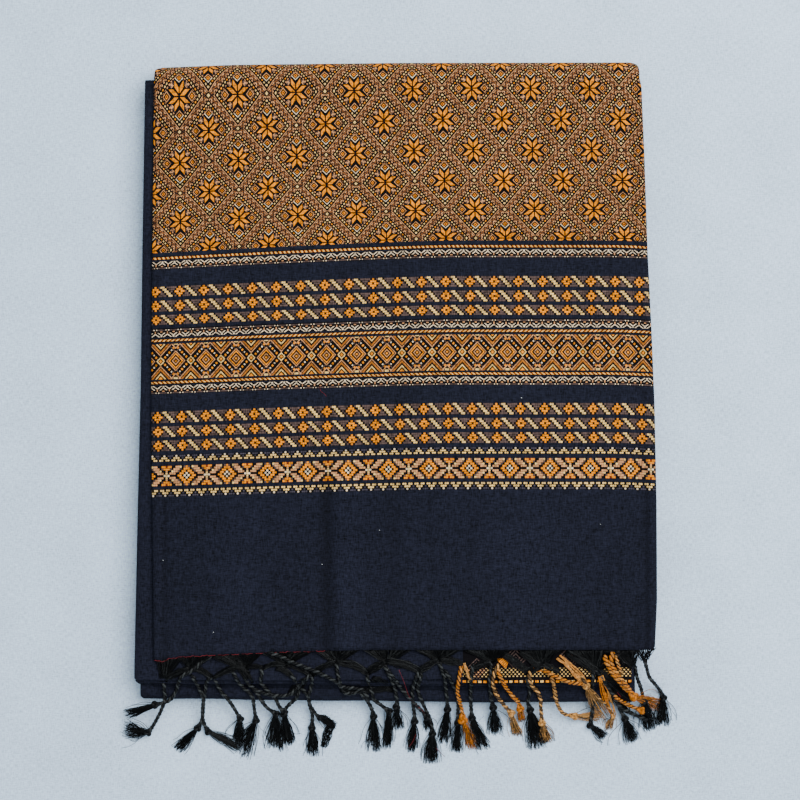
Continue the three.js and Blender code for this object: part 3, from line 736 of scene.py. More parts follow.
@dataclass(frozen=True)
class LozengeChain(Finish):
    """A chain of small cream lozenges, each with a chevron and a spot in it."""

    name: str = "lozenge_chain"
    period: float = 11.95

    def colour(self, palette: Palette) -> Shade:
        """Lines at a slope of 0.75 down to the junctions, a chevron inside at 0.8, and dashes along the foot.

        Args:
            palette: the material's palette.

        Returns:
            The colour.
        """
        column, row = palette.weave()
        half = self.period / 2
        away = half - column.fold(half)
        arm = away - 2.6 - (row - 0.5) * 1.35
        chevron = away - 0.4 - (row - 2.0) * 1.25
        return palette.layers(
            Thread.BLACK,
            (Thread.WHITE, (abs(arm) < 0.75) & (row < 3.2)),
            (Thread.BEIGE, (away > 5.45) & row.within(2.8, 5.6)),
            (Thread.WHITE, (away < 0.8) & row.within(0.1, 1.6)),
            (Thread.WHITE, (abs(chevron) < 0.7) & row.within(1.9, 4.3)),
            (Thread.BEIGE, (away < 1.1) & row.within(4.8, 5.8)),
            (Thread.WHITE, away.within(4.0, 5.2) & row.within(6.6, 7.6)),
            (Thread.BROWN, (away < 3.4) & row.within(6.5, 7.7)),
        )


@dataclass(frozen=True)
class WideBand(Finish):
    """The wide band of nested diamonds, the same on both sides of its middle."""

    name: str = "wide_band"
    period: float = 29.8
    middle: float = 17.3
    slope: float = 1.116

    def colour(self, palette: Palette) -> Shade:
        """Rings about each diamond's middle, rings about the middle between two, and chevrons above both.

        A ring is where the distance across plus the distance up, in threads, is constant; a chevron is
        where the distance up less the distance across is; the spots follow a diagonal from the smaller
        motif's corner.

        Args:
            palette: the material's palette.

        Returns:
            The colour.
        """
        column, row = palette.weave()
        half = self.period / 2
        a = column.fold(half)
        b = abs(row - self.middle) / self.slope
        other = half - a
        ring, knot = a + b, other + b
        chevron, peak = b - other, b - a
        spot = (knot - 5.8).wrap(8.4)
        diagonal = abs(other - b - 1.0)
        return palette.layers(
            Thread.BLACK,
            (Thread.ORANGE, (diagonal < 1.35) & spot.within(0.9, 3.3)),
            (Thread.WHITE, (diagonal < 1.0) & spot.within(5.4, 7.2)),
            (Thread.BROWN, peak.within(7.2, 8.2)), (Thread.BEIGE, peak.within(10.9, 12.2)),
            (Thread.BLACK, peak.within(12.2, 16.0)),
            (Thread.CREAM, (a < 2.0) & (b > 14.7)),
            (Thread.BEIGE, chevron.within(4.2, 5.4)), (Thread.GOLD, chevron.within(6.5, 8.7)),
            (Thread.BLACK, chevron > 8.7), (Thread.CREAM, chevron.within(10.8, 12.4)),
            (Thread.ORANGE, chevron > 14.0),
            (Thread.BLACK, ring < 9.6), (Thread.BEIGE, ring.within(8.3, 9.4)),
            (Thread.ORANGE, ring.within(5.8, 7.3)), (Thread.BEIGE, ring.within(2.7, 3.9)),
            (Thread.ORANGE, ring < 1.3),
            (Thread.BLACK, knot < 4.4), (Thread.CREAM, knot.within(2.8, 4.1)), (Thread.ORANGE, knot < 1.6),
        )


@dataclass(frozen=True)
class StarField(Finish):
    """The field of orange eight-pointed stars in a lattice of dotted diamonds."""

    name: str = "star_field"
    across: float = 59.0
    down: float = 60.5
    first: float = 68.0
    slope: float = 1.168

    def colour(self, palette: Palette) -> Shade:
        """Each star sits at the middle of a diamond of the lattice.

        Every place is folded to its distance from the nearest star, a across and b down. Each of the
        star's eight petals lies between two slanted lines, and a small ringed diamond stands at each
        corner. The borders follow where a plus b, in threads, is constant: dots, a dark line and a pale
        line below the star, and two rows of dots above it, with rings of brown between the diamonds.

        Args:
            palette: the material's palette.

        Returns:
            The colour.
        """
        column, row = palette.weave()
        row = row - self.first
        wide, tall = self.across / 2, self.down / 2
        a0, b0 = column.fold(wide), row.fold(tall)
        over = (a0 + b0 / self.slope) > (wide + tall / self.slope) / 2
        a = a0 + over * (wide - 2.0 * a0)
        b = b0 + over * (tall - 2.0 * b0)
        phase = (row / self.down).wrap(1.0) < 0.5
        low = phase + over - 2.0 * (phase & over)
        high = 1.0 - low
        s = a + b / self.slope
        along = a - b / self.slope
        beat = (along + 1.0).wrap(4.0) < 2.1
        other_beat = (along + 3.0).wrap(4.0) < 2.1
        warm = (along + 1.0).wrap(12.0) < 4.0
        curl = along.fold(4.0) * 0.62 + abs(s - 27.4)
        long_petal = a.within(0.6, 4.6) & (b - a * 1.1 > 1.8) & (b - a * 1.3 < 6.1)
        wide_petal = b.within(0.6, 5.3) & (a - b * 1.1 > 0.2) & (a - b * 1.2 < 4.4)
        heart = 14.8 + low * 1.2
        upper = a + abs(b - heart)
        side = abs(a - 12.8) * 1.1 + b
        crossing = (wide - a + b).least(a + tall - b)
        return palette.layers(
            Thread.BLACK,
            (Thread.BEIGE, (s > 25.3) & (curl > 2.7)), (Thread.UMBER, curl < 1.6), (Thread.GOLD, curl < 0.7),
            (Thread.BEIGE, low & s.within(23.6, 24.5)),
            (Thread.BEIGE, high & s.within(23.4, 24.7) & other_beat),
            (Thread.CREAM, s.within(19.9, 21.5) & beat), (Thread.ORANGE, s.within(19.9, 21.5) & beat & warm),
            (Thread.BEIGE, s.within(16.9, 18.2) & other_beat),
            (Thread.BEIGE, (abs(a - 7.6) + abs(b - 8.3)) < 2.2),
            (Thread.BROWN, s.within(13.4, 16.0) & a.within(4.6, 9.0) & other_beat),
            (Thread.BLACK, upper < 5.4), (Thread.BEIGE, upper < 4.6),
            (Thread.WHITE, (upper < 4.6) & (b > heart) & low), (Thread.WHITE, (upper < 4.6) & (b < heart) & high),
            (Thread.BLACK, upper < 3.6), (Thread.ORANGE, upper < 2.0), (Thread.RUST, upper < 1.1),
            (Thread.BLACK, side < 5.6), (Thread.BEIGE, side < 4.5), (Thread.BLACK, side < 3.5),
            (Thread.ORANGE, side < 1.9), (Thread.RUST, side < 1.0),
            (Thread.BLACK, s < 7.5), (Thread.ORANGE, long_petal | wide_petal), (Thread.BLACK, (a + b) < 1.3),
            (Thread.BLACK, crossing < 3.2), (Thread.CREAM, crossing < 1.7),
        )


@dataclass(frozen=True)
class Yarn(Finish):
    """Loose yarn, whose colour goes through three colours with the mark on each strand."""

    name: str = "black_yarn"
    # The third colour, a dark grey, is partly the yarn's own grey and partly painted sheen on black yarn.
    colours: tuple[Colour, ...] = (
        (0.0008, 0.0008, 0.001, 1.0), (0.002, 0.002, 0.0024, 1.0), (0.021, 0.022, 0.0215, 1.0),
    )
    roughness: float = 0.4
    specular: float = 0.15
    bump: float = 0.1

    def colour(self, palette: Palette) -> Shade:
        """The first colour at a mark of 0, the second at a half and the third at 1.

        Args:
            palette: the material's palette.

        Returns:
            The colour.
        """
        node = palette.node("ShaderNodeAttribute", {"attribute_name": "tint"})
        mark = palette.out(node, "Fac") * 2.0
        first, second, third = self.colours
        return palette.paint(palette.paint(first, second, mark.least(1.0)), third, (mark - 1.0).most(0.0))


@dataclass(frozen=True)
class BorderCloth(Finish):
    """Navy cloth whose right part is the body's narrow border: cream spots on black, and dashes at its edge."""

    name: str = "border_cloth"
    left: float = 463.0
    right: float = 632.0
    top: float = -60.0
    pitch: float = 2.1
    rings: tuple[tuple[float, float], ...] = ((516.0, 24.0), (572.0, 26.0), (477.0, 12.0))

    def colour(self, palette: Palette) -> Shade:
        """Spots in a quincunx and worn rings above the fold, two gold patches, and dashes along the fold.

        Args:
            palette: the material's palette.

        Returns:
            The colour.
        """
        column, row = palette.weave()
        inside = column.within(self.left, self.right) & (row > self.top)
        step = (row / self.pitch).floor()
        spot = (column + step.wrap(2.0) * 1.95).wrap(3.9)
        spots = inside & (spot < 1.6) & (row.wrap(self.pitch) < 1.2) & row.within(-14.0, -4.2)
        dashes = inside & (column.wrap(5.2) < 3.4) & row.within(-1.5, 0.7)
        down = row + 24.0
        wedge = row.within(-24.0, -14.5) & (column > 496.0 + down * 0.9) & (column < 510.0 - down * 0.35)
        patch = (abs(column - 533.0 - (row + 20.0) * 0.7) < 3.6) & row.within(-24.0, -10.0)
        first, *others = (abs(column - u) + abs(row + v) for u, v in self.rings)
        ring = first.least(others[0]).least(others[1])
        arc = (ring.wrap(3.6) < 1.3) & (ring < 13.0) & (spot < 2.6)
        return palette.layers(
            Thread.NAVY, (Thread.BLACK, inside), (Thread.BROWN, inside & arc), (Thread.BEIGE, spots),
            (Thread.CREAM, spots & (ring > 9.0)), (Thread.GOLD, wedge | patch),
            (Thread.ORANGE, wedge & ((column + row).wrap(2.6) < 1.2)),
            (Thread.ORANGE, dashes), (Thread.CREAM, dashes & (column.wrap(10.4) < 3.0)),
        )


def slide(points: Sequence[tuple[float, ...]], step: float) -> np.ndarray:
    """Smooth path through points.

    Each piece between two points is a cubic whose slope at a point is half the step from the point
    before to the point after; the path is then cut evenly.

    Args:
        points: the points, as (n, 2) or (n, 3).
        step: distance between the path's points.

    Returns:
        The path's points.
    """
    knots = np.asarray(points, dtype=float)
    slopes = np.gradient(knots, axis=0)
    share = np.linspace(0, 1, 24, endpoint=False)[None, :, None]
    a, b, m, n = knots[:-1, None], knots[1:, None], slopes[:-1, None], slopes[1:, None]
    cubic = ((2 * share ** 3 - 3 * share ** 2 + 1) * a + (share ** 3 - 2 * share ** 2 + share) * m
             + (3 * share ** 2 - 2 * share ** 3) * b + (share ** 3 - share ** 2) * n)
    fine = np.concatenate([cubic.reshape(-1, knots.shape[1]), knots[-1:]])
    travel = np.concatenate([[0], np.cumsum(np.linalg.norm(np.diff(fine, axis=0), axis=1))])
    marks = np.linspace(0, travel[-1], max(4, round(travel[-1] / step)))
    return np.stack([np.interp(marks, travel, fine[:, axis]) for axis in range(knots.shape[1])], axis=-1)


class Ground:
    """What the fringe lies on, with tables of its height by distance past an edge or by place."""

    past_front = [(-4.0, 0.0), (0.2, 5.2), (2.5, 9.0), (5.1, 10.2)]
    east = [(136.5, 16.5), (139.0, 12.0), (148.0, 0.0)]
    west = [(-158.0, 0.0), (-149.0, 12.0), (-147.0, 16.5)]
    at_hem = 18.3
    hem_slope = 0.42
    hem_end = 656.0

    @staticmethod
    def hem(u: Amount) -> Amount:
        """Pixel row of the end panel's hem."""
        return Outline.hem_row + table(Outline.hem, u)

    @classmethod
    def height(cls, x: np.ndarray, y: np.ndarray) -> np.ndarray:
        """Height of the cloth or floor under a place, in millimetres.

        Args:
            x: millimetres to the right.
            y: millimetres up the photograph.

        Returns:
            Height of the stepped turns, sloping down past their front and right edges.
        """
        ledge = table(Outline.upper_bottom, x)
        brink = table(Outline.lower_bottom, x)
        front = np.maximum.reduce([
            table([(-0.9, Outline.lower_z), (-0.2, top - 1.0), (1.0, top)], y - ledge - table(line, x))
            for top, line in Outline.turns
        ])
        fall = table(cls.past_front, y - brink)
        sides = np.minimum(table(cls.east, x), table(cls.west, x))
        return np.minimum(np.where(y < ledge + 2, np.minimum(front, fall), front), sides)

    @classmethod
    def lay(cls, route: np.ndarray, radius: float, lift: float = 0.0) -> np.ndarray:
        """Lays a route in pixels over the ground.

        The height is the ground's, or the hem's near it, eased along the route so that a strand bridges
        each step, plus its radius and its lift.

        Args:
            route: pixels (..., points, 2), evenly spaced.
            radius: how far its middle stays over the ground.
            lift: more height, in millimetres.

        Returns:
            Points (..., points, 3) in millimetres.
        """
        u, v = route[..., 0], route[..., 1]
        z = np.full(u.shape, 15.0)
        for _ in range(3):
            x, y = VIEW.place(u, v, z)
            near = cls.at_hem - cls.hem_slope * np.maximum(v - cls.hem(u), 0) * VIEW.pitch
            z = np.maximum(cls.height(x, y), np.where(u < cls.hem_end, near, 0)) + radius + lift
        reach = max(1, min(6, u.shape[-1] // 6))
        padded = np.concatenate([z[..., :1]] * reach + [z] + [z[..., -1:]] * reach, axis=-1)
        window = np.stack([padded[..., k:k + z.shape[-1]] for k in range(2 * reach + 1)], axis=0)
        z = np.maximum(window.mean(axis=0), z - 0.2)
        x, y = VIEW.place(u, v, z)
        return np.stack([x, y, z], axis=-1)


class Run(Enum):
    """The fringe's four runs, by their CAD nodes."""

    LEFT = "fringe_black_left"
    MIDDLE = "fringe_black_middle"
    RIGHT = "fringe_black_right"
    GOLD = "fringe_gold"


@dataclass(frozen=True)
class Strand:
    """A twisted cord, with the pixels that it passes through, its knot, and its brush's tips."""

    run: Run
    route: Rows
    tips: Rows = ()
    spread: float = 5.0
    radius: float = 0.66
    yarns: int = 90
    tint: tuple[float, float] = (0.0, 1.0)
    lift: float = 0.0
    knot: float = 1.0


@dataclass(frozen=True)
class Fan:
    """Loose warp ends from a stretch of the hem that gather at a knot."""

    run: Run
    left: float
    right: float
    knot: tuple[float, float]


@dataclass(frozen=True)
class Sash:
    """A flat bundle of warp ends that hangs in an arch from one knot to the next."""

    run: Run
    start: tuple[float, float]
    end: tuple[float, float]
    width: float = 2.6
    yarns: int = 26
    arch: float = 2.2
    radius: float = 0.2
    tint: tuple[float, float] = (0.0, 1.0)
    lift: float = 0.3


L, M, R, G = Run.LEFT, Run.MIDDLE, Run.RIGHT, Run.GOLD
ORANGE, BEIGE = (0.0, 0.28), (0.42, 1.0)
FANS = (
    Fan(L, 156, 184, (163.5, 680)), Fan(L, 178, 211, (190, 669)), Fan(L, 211, 264, (244, 668)),
    Fan(L, 160, 178, (164, 678)), Fan(M, 260, 314, (286, 664)), Fan(M, 312, 361, (336.3, 662)),
    Fan(M, 361, 412.4, (386, 662)), Fan(M, 412.4, 462.5, (438.5, 660)), Fan(R, 462.5, 512, (491, 661)),
    Fan(R, 520, 563, (542, 666)), Fan(R, 571, 620, (597, 672)), Fan(R, 604, 642, (632, 666)),
    Fan(R, 634, 656, (644.6, 660)),
)
SASHES = (
    Sash(L, (190, 669), (165, 681)), Sash(L, (190, 668), (212, 677)),
    Sash(L, (211, 655), (188, 671), 1.6, 14, -0.5), Sash(L, (244, 667), (213, 678), 3.2),
    Sash(L, (212, 655), (250, 673), 2.0, 14, 0.5), Sash(L, (236, 660), (252, 684), 4.0, 26, 0.5),
    Sash(M, (246, 668), (263, 667), 1.8, 14, 1.5), Sash(M, (286, 664), (263, 668), 2.4),
    Sash(M, (286, 664), (310, 675), 2.6), Sash(M, (276, 668), (291, 675), 3.4),
    Sash(M, (336.3, 662), (312, 675), 3.0), Sash(M, (306, 680), (290, 694), 4.2, 34, 0.5),
    Sash(M, (336.3, 662), (368, 672), 3.6, 32), Sash(M, (386, 662), (368, 672), 3.6, 32, 1.0),
    Sash(M, (386, 661), (419.5, 671), 3.8, 34), Sash(M, (438.5, 660), (419.5, 671), 3.4, 32, 1.0),
    Sash(M, (438.5, 660), (468, 668), 3.4, 30, 2.5),
    Sash(M, (333, 722), (323, 747), 4.6, 34, 0.5, 0.14, (0.0, 0.5), 0.0),
    Sash(M, (319, 716), (334, 724), 2.2, 20, 1.5, 0.17, (0.0, 0.5), 0.0),
    Sash(M, (340, 690), (392, 688), 3.0, 24, -1.5, lift=0.0),
    Sash(M, (372, 678), (394, 690), 4.0, 24, 0.0, lift=0.0), Sash(R, (491, 661), (472, 670), 3.4, 30, 1.0),
    Sash(R, (503, 654), (528.5, 672), 3.8, 34, 0.5), Sash(R, (542, 664), (528.5, 672), 4.0, 34, 0.5),
    Sash(R, (520, 652), (541, 668), 3.0, 24, 0.5), Sash(R, (542, 664), (560, 672), 2.4, 16, 0.5),
    Sash(R, (566, 652), (600, 674), 4.0, 34, 0.5), Sash(R, (597, 670), (632, 700), 4.5, 26, 0.0),
    Sash(R, (620, 652), (634, 667), 4.0, 30, 0.0), Sash(R, (606, 684), (628, 712), 5.0, 26, 0.0),
    Sash(G, (558, 657), (585.6, 684), 4.6, 7, 2.0, 0.32, (0.3, 0.6), 1.6),
    Sash(G, (564, 662), (585, 683), 2.4, 5, -1.0, 0.34, (0.35, 0.6), 1.4),
    Sash(G, (464, 663), (470, 680), 1.4, 6, -2.0, 0.3, (0.4, 0.8), 1.2),
    Sash(G, (600, 676), (613, 716), 4.0, 10, 0.0, 0.32, (0.0, 0.7), 1.2),
)
STRANDS = (
    Strand(L, ((163.5, 680), (164.8, 699), (161.8, 709), (158, 717), (153, 726), (148.4, 732)),
           ((124.5, 723), (126, 733)), 6),
    Strand(L, ((205, 659), (193, 670), (181, 677), (178, 685), (175.7, 692), (171, 699), (166, 702),
            (155.7, 704.6)), ((125.4, 712), (129, 716)), 4),
    Strand(L, ((191, 675), (195.6, 681.6), (202.5, 696), (203.4, 708), (202, 720), (198, 727.5)),
           ((174, 746), (181, 751)), 4),
    Strand(L, ((212, 677), (206.9, 681.6), (204.3, 697), (202.5, 713), (204, 723), (208, 731)),
           ((236, 744), (241, 750)), 3, yarns=110),
    Strand(L, ((214.7, 679), (220.7, 691), (227.7, 699), (234, 708), (240, 718.4)),
           ((236, 740), (239, 743)), 4),
    Strand(L, ((232, 672), (241.9, 686), (249.7, 693), (253, 699), (254.4, 709), (256, 719.7)),
           ((241, 744), (245, 758)), 6),
    Strand(M, ((243.6, 677), (252, 687), (263.5, 693), (275.7, 695.5), (288, 695), (297, 688.5), (306, 679),
            (311, 674.7))),
    Strand(M, ((250, 686), (257.5, 693.7), (261.8, 700.7), (267, 707.6), (275.7, 713.7)),
           ((269, 746), (283, 749)), 6, yarns=120),
    Strand(M, ((261, 667), (261.8, 675), (261, 682), (267, 690), (275.7, 699), (279, 706), (284, 712)),
           ((287, 742), (292, 741)), 4),
    Strand(M, ((299, 690), (296.5, 698), (290, 704), (286, 708.5), (284.3, 713.7)),
           ((288, 744), (293, 742)), 3, yarns=60),
    Strand(M, ((300, 687), (307.7, 696), (310, 706), (312.5, 716), (312, 726.7)),
           ((313.8, 755), (310, 752)), 5),
    Strand(M, ((310, 706), (313, 710), (315.5, 713.7), (319, 717)), ((335, 727),), 2.5, yarns=60, knot=0.8),
    Strand(M, ((267, 652), (281, 656.5), (293, 662.5), (317, 672), (338, 683), (342, 687), (362, 690),
            (369, 700.7)), lift=1.0),
    Strand(M, ((289.5, 672), (295.6, 681.6), (300, 687))),
    Strand(M, ((311, 675), (312, 682), (311, 688), (308, 696))),
    Strand(M, ((336, 662), (338, 675), (342, 688.5), (347.5, 693.7), (359.7, 692), (363, 696), (368, 702),
            (371.8, 709), (373.5, 715.4)), ((370, 750), (379, 749)), 5),
    Strand(M, ((369, 683), (372, 693), (374.4, 700), (381, 705), (388.7, 711)), ((385, 747.5), (390, 746)), 4),
    Strand(M, ((368, 672), (367.5, 677), (369, 684))),
    Strand(M, ((384, 664), (389, 675), (394, 685), (396, 694), (397, 702), (396.5, 706)),
           ((394, 729), (402, 728)), 4, yarns=75),
    Strand(M, ((385.7, 668), (393.5, 678), (401, 688), (408, 696), (415, 704), (423, 712), (426.4, 716)),
           ((428, 728), (431, 730)), 3, yarns=50, lift=0.6),
    Strand(M, ((419.5, 670), (416.9, 676), (413.4, 687), (412.5, 696), (414.3, 713.7), (414.7, 720.6)),
           ((409, 751), (414, 750)), 4),
    Strand(M, ((419.5, 670), (421, 676), (417.7, 688.5), (421, 699), (428, 714.5), (431.6, 724),
            (432.5, 732.7)), ((427, 762), (436, 761)), 6, yarns=120),
    Strand(M, ((439.3, 661), (441, 668), (444.5, 678), (447, 699), (447.5, 708.5)),
           ((439, 742), (448, 741)), 5),
    Strand(M, ((444.5, 670), (451, 681), (455, 688.5), (458, 700), (458, 722)),
           ((454, 750), (460, 751)), 4, yarns=95),
    Strand(R, ((473, 664), (471, 683), (470.7, 700), (472, 717)), ((478, 748), (488, 747)), 4),
    Strand(R, ((489.5, 661), (491, 668.6), (489.5, 681.6), (491, 697), (493, 706.7)),
           ((492, 733), (501, 733)), 4),
    Strand(R, ((529, 672), (527.5, 681.6), (530, 691), (528, 702), (530, 709)),
           ((530, 747), (543, 746)), 6, yarns=120),
    Strand(R, ((594, 670), (592.5, 685), (593.4, 701), (591.7, 716), (590.5, 725)),
           ((603, 738), (606, 736)), 3, yarns=60),
    Strand(R, ((594, 670), (602, 678), (607, 686), (612.6, 694), (618, 705), (624.6, 718)),
           ((629, 743), (636, 739)), 5),
    Strand(R, ((607, 686), (612.6, 694), (620, 706), (629, 712), (647, 720)), lift=0.7),
    Strand(R, ((635.8, 667), (636, 672), (638, 680), (641, 688), (643.8, 701)),
           ((645, 730), (654, 728)), 6, yarns=105),
    Strand(R, ((644.6, 659), (647, 669), (649.4, 677), (655, 684), (660.6, 691), (663, 697)),
           ((658, 725), (666, 724)), 5, yarns=95),
    Strand(G, ((461.5, 666), (459.5, 676), (458, 685), (457.5, 692), (459.5, 701), (461.8, 709),
            (462.7, 719)), ((470, 748), (476, 747)), 3, tint=ORANGE, yarns=65, knot=1.25, lift=1.0),
    Strand(G, ((499, 665), (495.5, 671), (493, 679), (494, 688.5), (498, 697), (504, 705), (511, 712.8)),
           ((514, 734), (521, 735)), 3, tint=BEIGE, lift=0.8),
    Strand(G, ((497, 667), (499, 674), (505, 686), (512, 695.5), (518, 702), (520, 708)),
           ((520, 722), (524, 720)), 3, tint=ORANGE, yarns=45, lift=1.2),
    Strand(G, ((530, 672), (529.5, 678), (532, 686), (537, 691), (540.5, 699), (541, 708), (542, 722)),
           ((544, 742), (551, 741)), 3, tint=BEIGE, lift=1.0),
    Strand(G, ((551, 678), (553.5, 684), (556, 699), (558.7, 707), (564, 713.7), (574, 716)),
           ((600, 713), (598, 719)), 3, tint=(0.38, 0.85), yarns=60, lift=0.6),
    Strand(G, ((579.5, 674), (583, 679), (586, 685)),
           ((588, 706), (593, 708), (606, 729), (620, 724)), 4, tint=BEIGE, yarns=60, lift=1.2),
    Strand(G, ((544, 671), (565.7, 681), (575, 683), (585.6, 684)), tint=ORANGE, lift=1.0),
    Strand(G, ((585.6, 688), (590, 690), (600, 699), (609, 707.6), (613, 716)),
           ((612, 730), (605, 730)), 3, tint=BEIGE, yarns=32, radius=0.4, lift=1.4),
    Strand(G, ((604.6, 656), (607, 663), (613, 674), (620, 682), (626, 689), (633.4, 696)),
           ((661, 702), (658, 709)), 4, tint=ORANGE, radius=0.8, yarns=75, lift=1.6),
    Strand(G, ((613, 653), (611, 662), (616, 673), (624, 683), (631, 692), (633, 697)),
           tint=ORANGE, radius=0.8, lift=2.0),
    Strand(G, ((615, 656), (618, 664), (622, 674)), tint=(0.2, 0.7), radius=0.55, lift=1.6),
    Strand(G, ((612, 694), (618, 699), (625, 703), (633, 707), (641, 710)),
           ((650, 712), (652, 716)), 3, tint=ORANGE, yarns=32, lift=1.4),
)


@dataclass
class Fringe:
    """The knotted fringe of warp ends along the hem."""

    pitch: float = 5.2
    step: float = 0.62
    yarn: float = 0.17
    sunk: float = 1.6
    seed: int = 11
    ply: float = 0.92
    groove: float = 0.54
    # The lighter ply's grey is partly painted sheen on a black cord.
    ply_tints: tuple[float, float] = (0.55, 1.0)
    usual_radius: float = 0.66
    ends_a_pixel: float = 2.3
    dark_share: float = 0.3
    frizzy_share: float = 0.16
    frizz: tuple[float, float] = (1.25, 0.52)
    strays: tuple[Rows, ...] = (
        ((150, 733), (140, 735), (137, 741), (130, 746), (121.5, 748)), ((256, 722), (262, 730), (269, 734.5)),
        ((283, 716), (289, 721), (288, 729)), ((290, 731), (296, 734), (301, 733)),
        ((667, 703), (671, 709), (676.6, 717.6)), ((484, 716), (478, 722), (475, 730), (467, 735)),
        ((600, 736), (602, 745)), ((413, 720), (408, 730), (406, 741)), ((316, 742), (306, 748), (303, 756)),
        ((372, 738), (364, 742), (361, 748)), ((488, 714), (494, 728), (505, 737)),
    )

    def build(self, blacks: bpy.types.Material, golds: bpy.types.Material) -> list[bpy.types.Object]:
        """Makes one object for each run.

        Args:
            blacks: material of the black runs.
            golds: material of the gold run.

        Returns:
            The runs' objects.
        """
        self.random = np.random.default_rng(self.seed)
        made = []
        for run in Run:
            maker = MeshMaker(f"{run.value}_yarns")
            for things, add in ((STRANDS, self.cord), (FANS, self.fan), (SASHES, self.sash)):
                for thing in (one for one in things if one.run is run):
                    add(maker, thing)
            if run is Run.MIDDLE:
                self.wisps(maker)
            thing = maker.make([golds if run is Run.GOLD else blacks])
            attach(thing, "root")
            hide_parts(run.value)
            made.append(thing)
        return made

    def cord(self, maker: MeshMaker, strand: Strand) -> None:
        """Adds a cord's two twisted plies, the dark yarn in their grooves, its fibres, its knot and its brush.

        A ply's middle goes round the route at its own radius, one turn a pitch, half a turn from the other,
        and the grooves' yarn a quarter turn from both.

        Args:
            maker: the run's mesh.
            strand: the cord.
        """
        route = slide(strand.route, self.step / VIEW.pitch)
        middle = Ground.lay(route, 1.9 * strand.radius, strand.lift)
        travel = np.concatenate([[0], np.cumsum(np.linalg.norm(np.diff(middle, axis=0), axis=1))])
        middle[:, 2] -= self.sunk * (1 - ease(travel / 4))
        along = np.gradient(middle, axis=0)
        along /= np.linalg.norm(along, axis=1, keepdims=True)
        across = np.cross(along, [0.0, 0.0, 1.0])
        across /= np.linalg.norm(across, axis=1, keepdims=True) + 1e-9
        up = np.cross(across, along)
        start = self.random.uniform(0, 6.28)
        turn = start + 2 * np.pi * travel / self.pitch
        loose = 1 + 0.12 * np.sin(travel / 2.3 + start)
        outer = np.array([[0.0], [np.pi]]) + turn
        plies = middle + strand.radius * self.ply * loose[:, None] * (
            np.cos(outer)[..., None] * across + np.sin(outer)[..., None] * up)
        gold = strand.run is Run.GOLD
        tints = np.array([lerp(*strand.tint, 0.1), lerp(*strand.tint, 0.9)] if gold else self.ply_tints)
        maker.add_tubes(plies, strand.radius * (1 + 0.1 * np.sin(travel / 1.7)), 7, tints)
        # Dark yarn in the grooves: partly black yarn twisted in, partly painted shade between the plies.
        inner = outer + 0.5 * np.pi
        groove_shade_yarn = middle + strand.radius * 1.05 * (np.cos(inner)[..., None] * across + np.sin(inner)[..., None] * up)
        maker.add_tubes(groove_shade_yarn, self.groove * strand.radius, 4, 1.0 if gold else 0.0)
        self.hairs(maker, middle, strand)
        if strand.tips:
            self.knot(maker, middle[-1], along[-1], strand, tints[0])
            self.brush(maker, route[-1], middle[-1], strand)

    def hairs(self, maker: MeshMaker, middle: np.ndarray, strand: Strand) -> None:
        """Adds short loose fibres along a cord, each straight but for a small waver.

        Args:
            maker: the run's mesh.
            middle: the cord's middle, as points.
            strand: the cord.
        """
        count = len(middle) // 6
        roots = middle[self.random.integers(0, len(middle), count)]
        aim = self.random.normal(0, 1, (count, 3)) * [1, 1, 0.35] + [0, 0, 0.2]
        share = np.linspace(0, 1, 4)[None, :, None]
        paths = roots[:, None] + aim[:, None] * share * 1.5 + self.random.normal(0, 0.12, (count, 4, 3)) * share
        maker.add_tubes(paths, 0.05, 3, self.random.uniform(*strand.tint, count))

    def knot(self, maker: MeshMaker, place: np.ndarray, along: np.ndarray, strand: Strand, tint: float) -> None:
        """Adds an overhand knot as a trefoil.

        Across it is the sine of the turn plus twice the sine of twice it, along it the cosine less twice
        the cosine of twice it, and up the sine of three times it.

        Args:
            maker: the run's mesh.
            place: its middle.
            along: direction of its cord.
            strand: the cord that it ends.
            tint: its mark.
        """
        turn = np.linspace(0, 2 * np.pi, 40)
        scale = strand.knot * strand.radius / self.usual_radius
        size = 0.74 * scale
        level = np.array([along[0], along[1], 0.0])
        level /= np.linalg.norm(level) + 1e-9
        across = np.array([level[1], -level[0], 0.0])
        path = (place + size * (np.sin(turn) + 2 * np.sin(2 * turn))[:, None] * across * 0.8
                + size * (np.cos(turn) - 2 * np.cos(2 * turn))[:, None] * level
                - size * 1.1 * np.sin(3 * turn)[:, None] * np.array([0.0, 0.0, 1.0]))
        path[:, 2] += 0.3
        maker.add_tubes(path[None], 0.8 * scale, 7, tint)

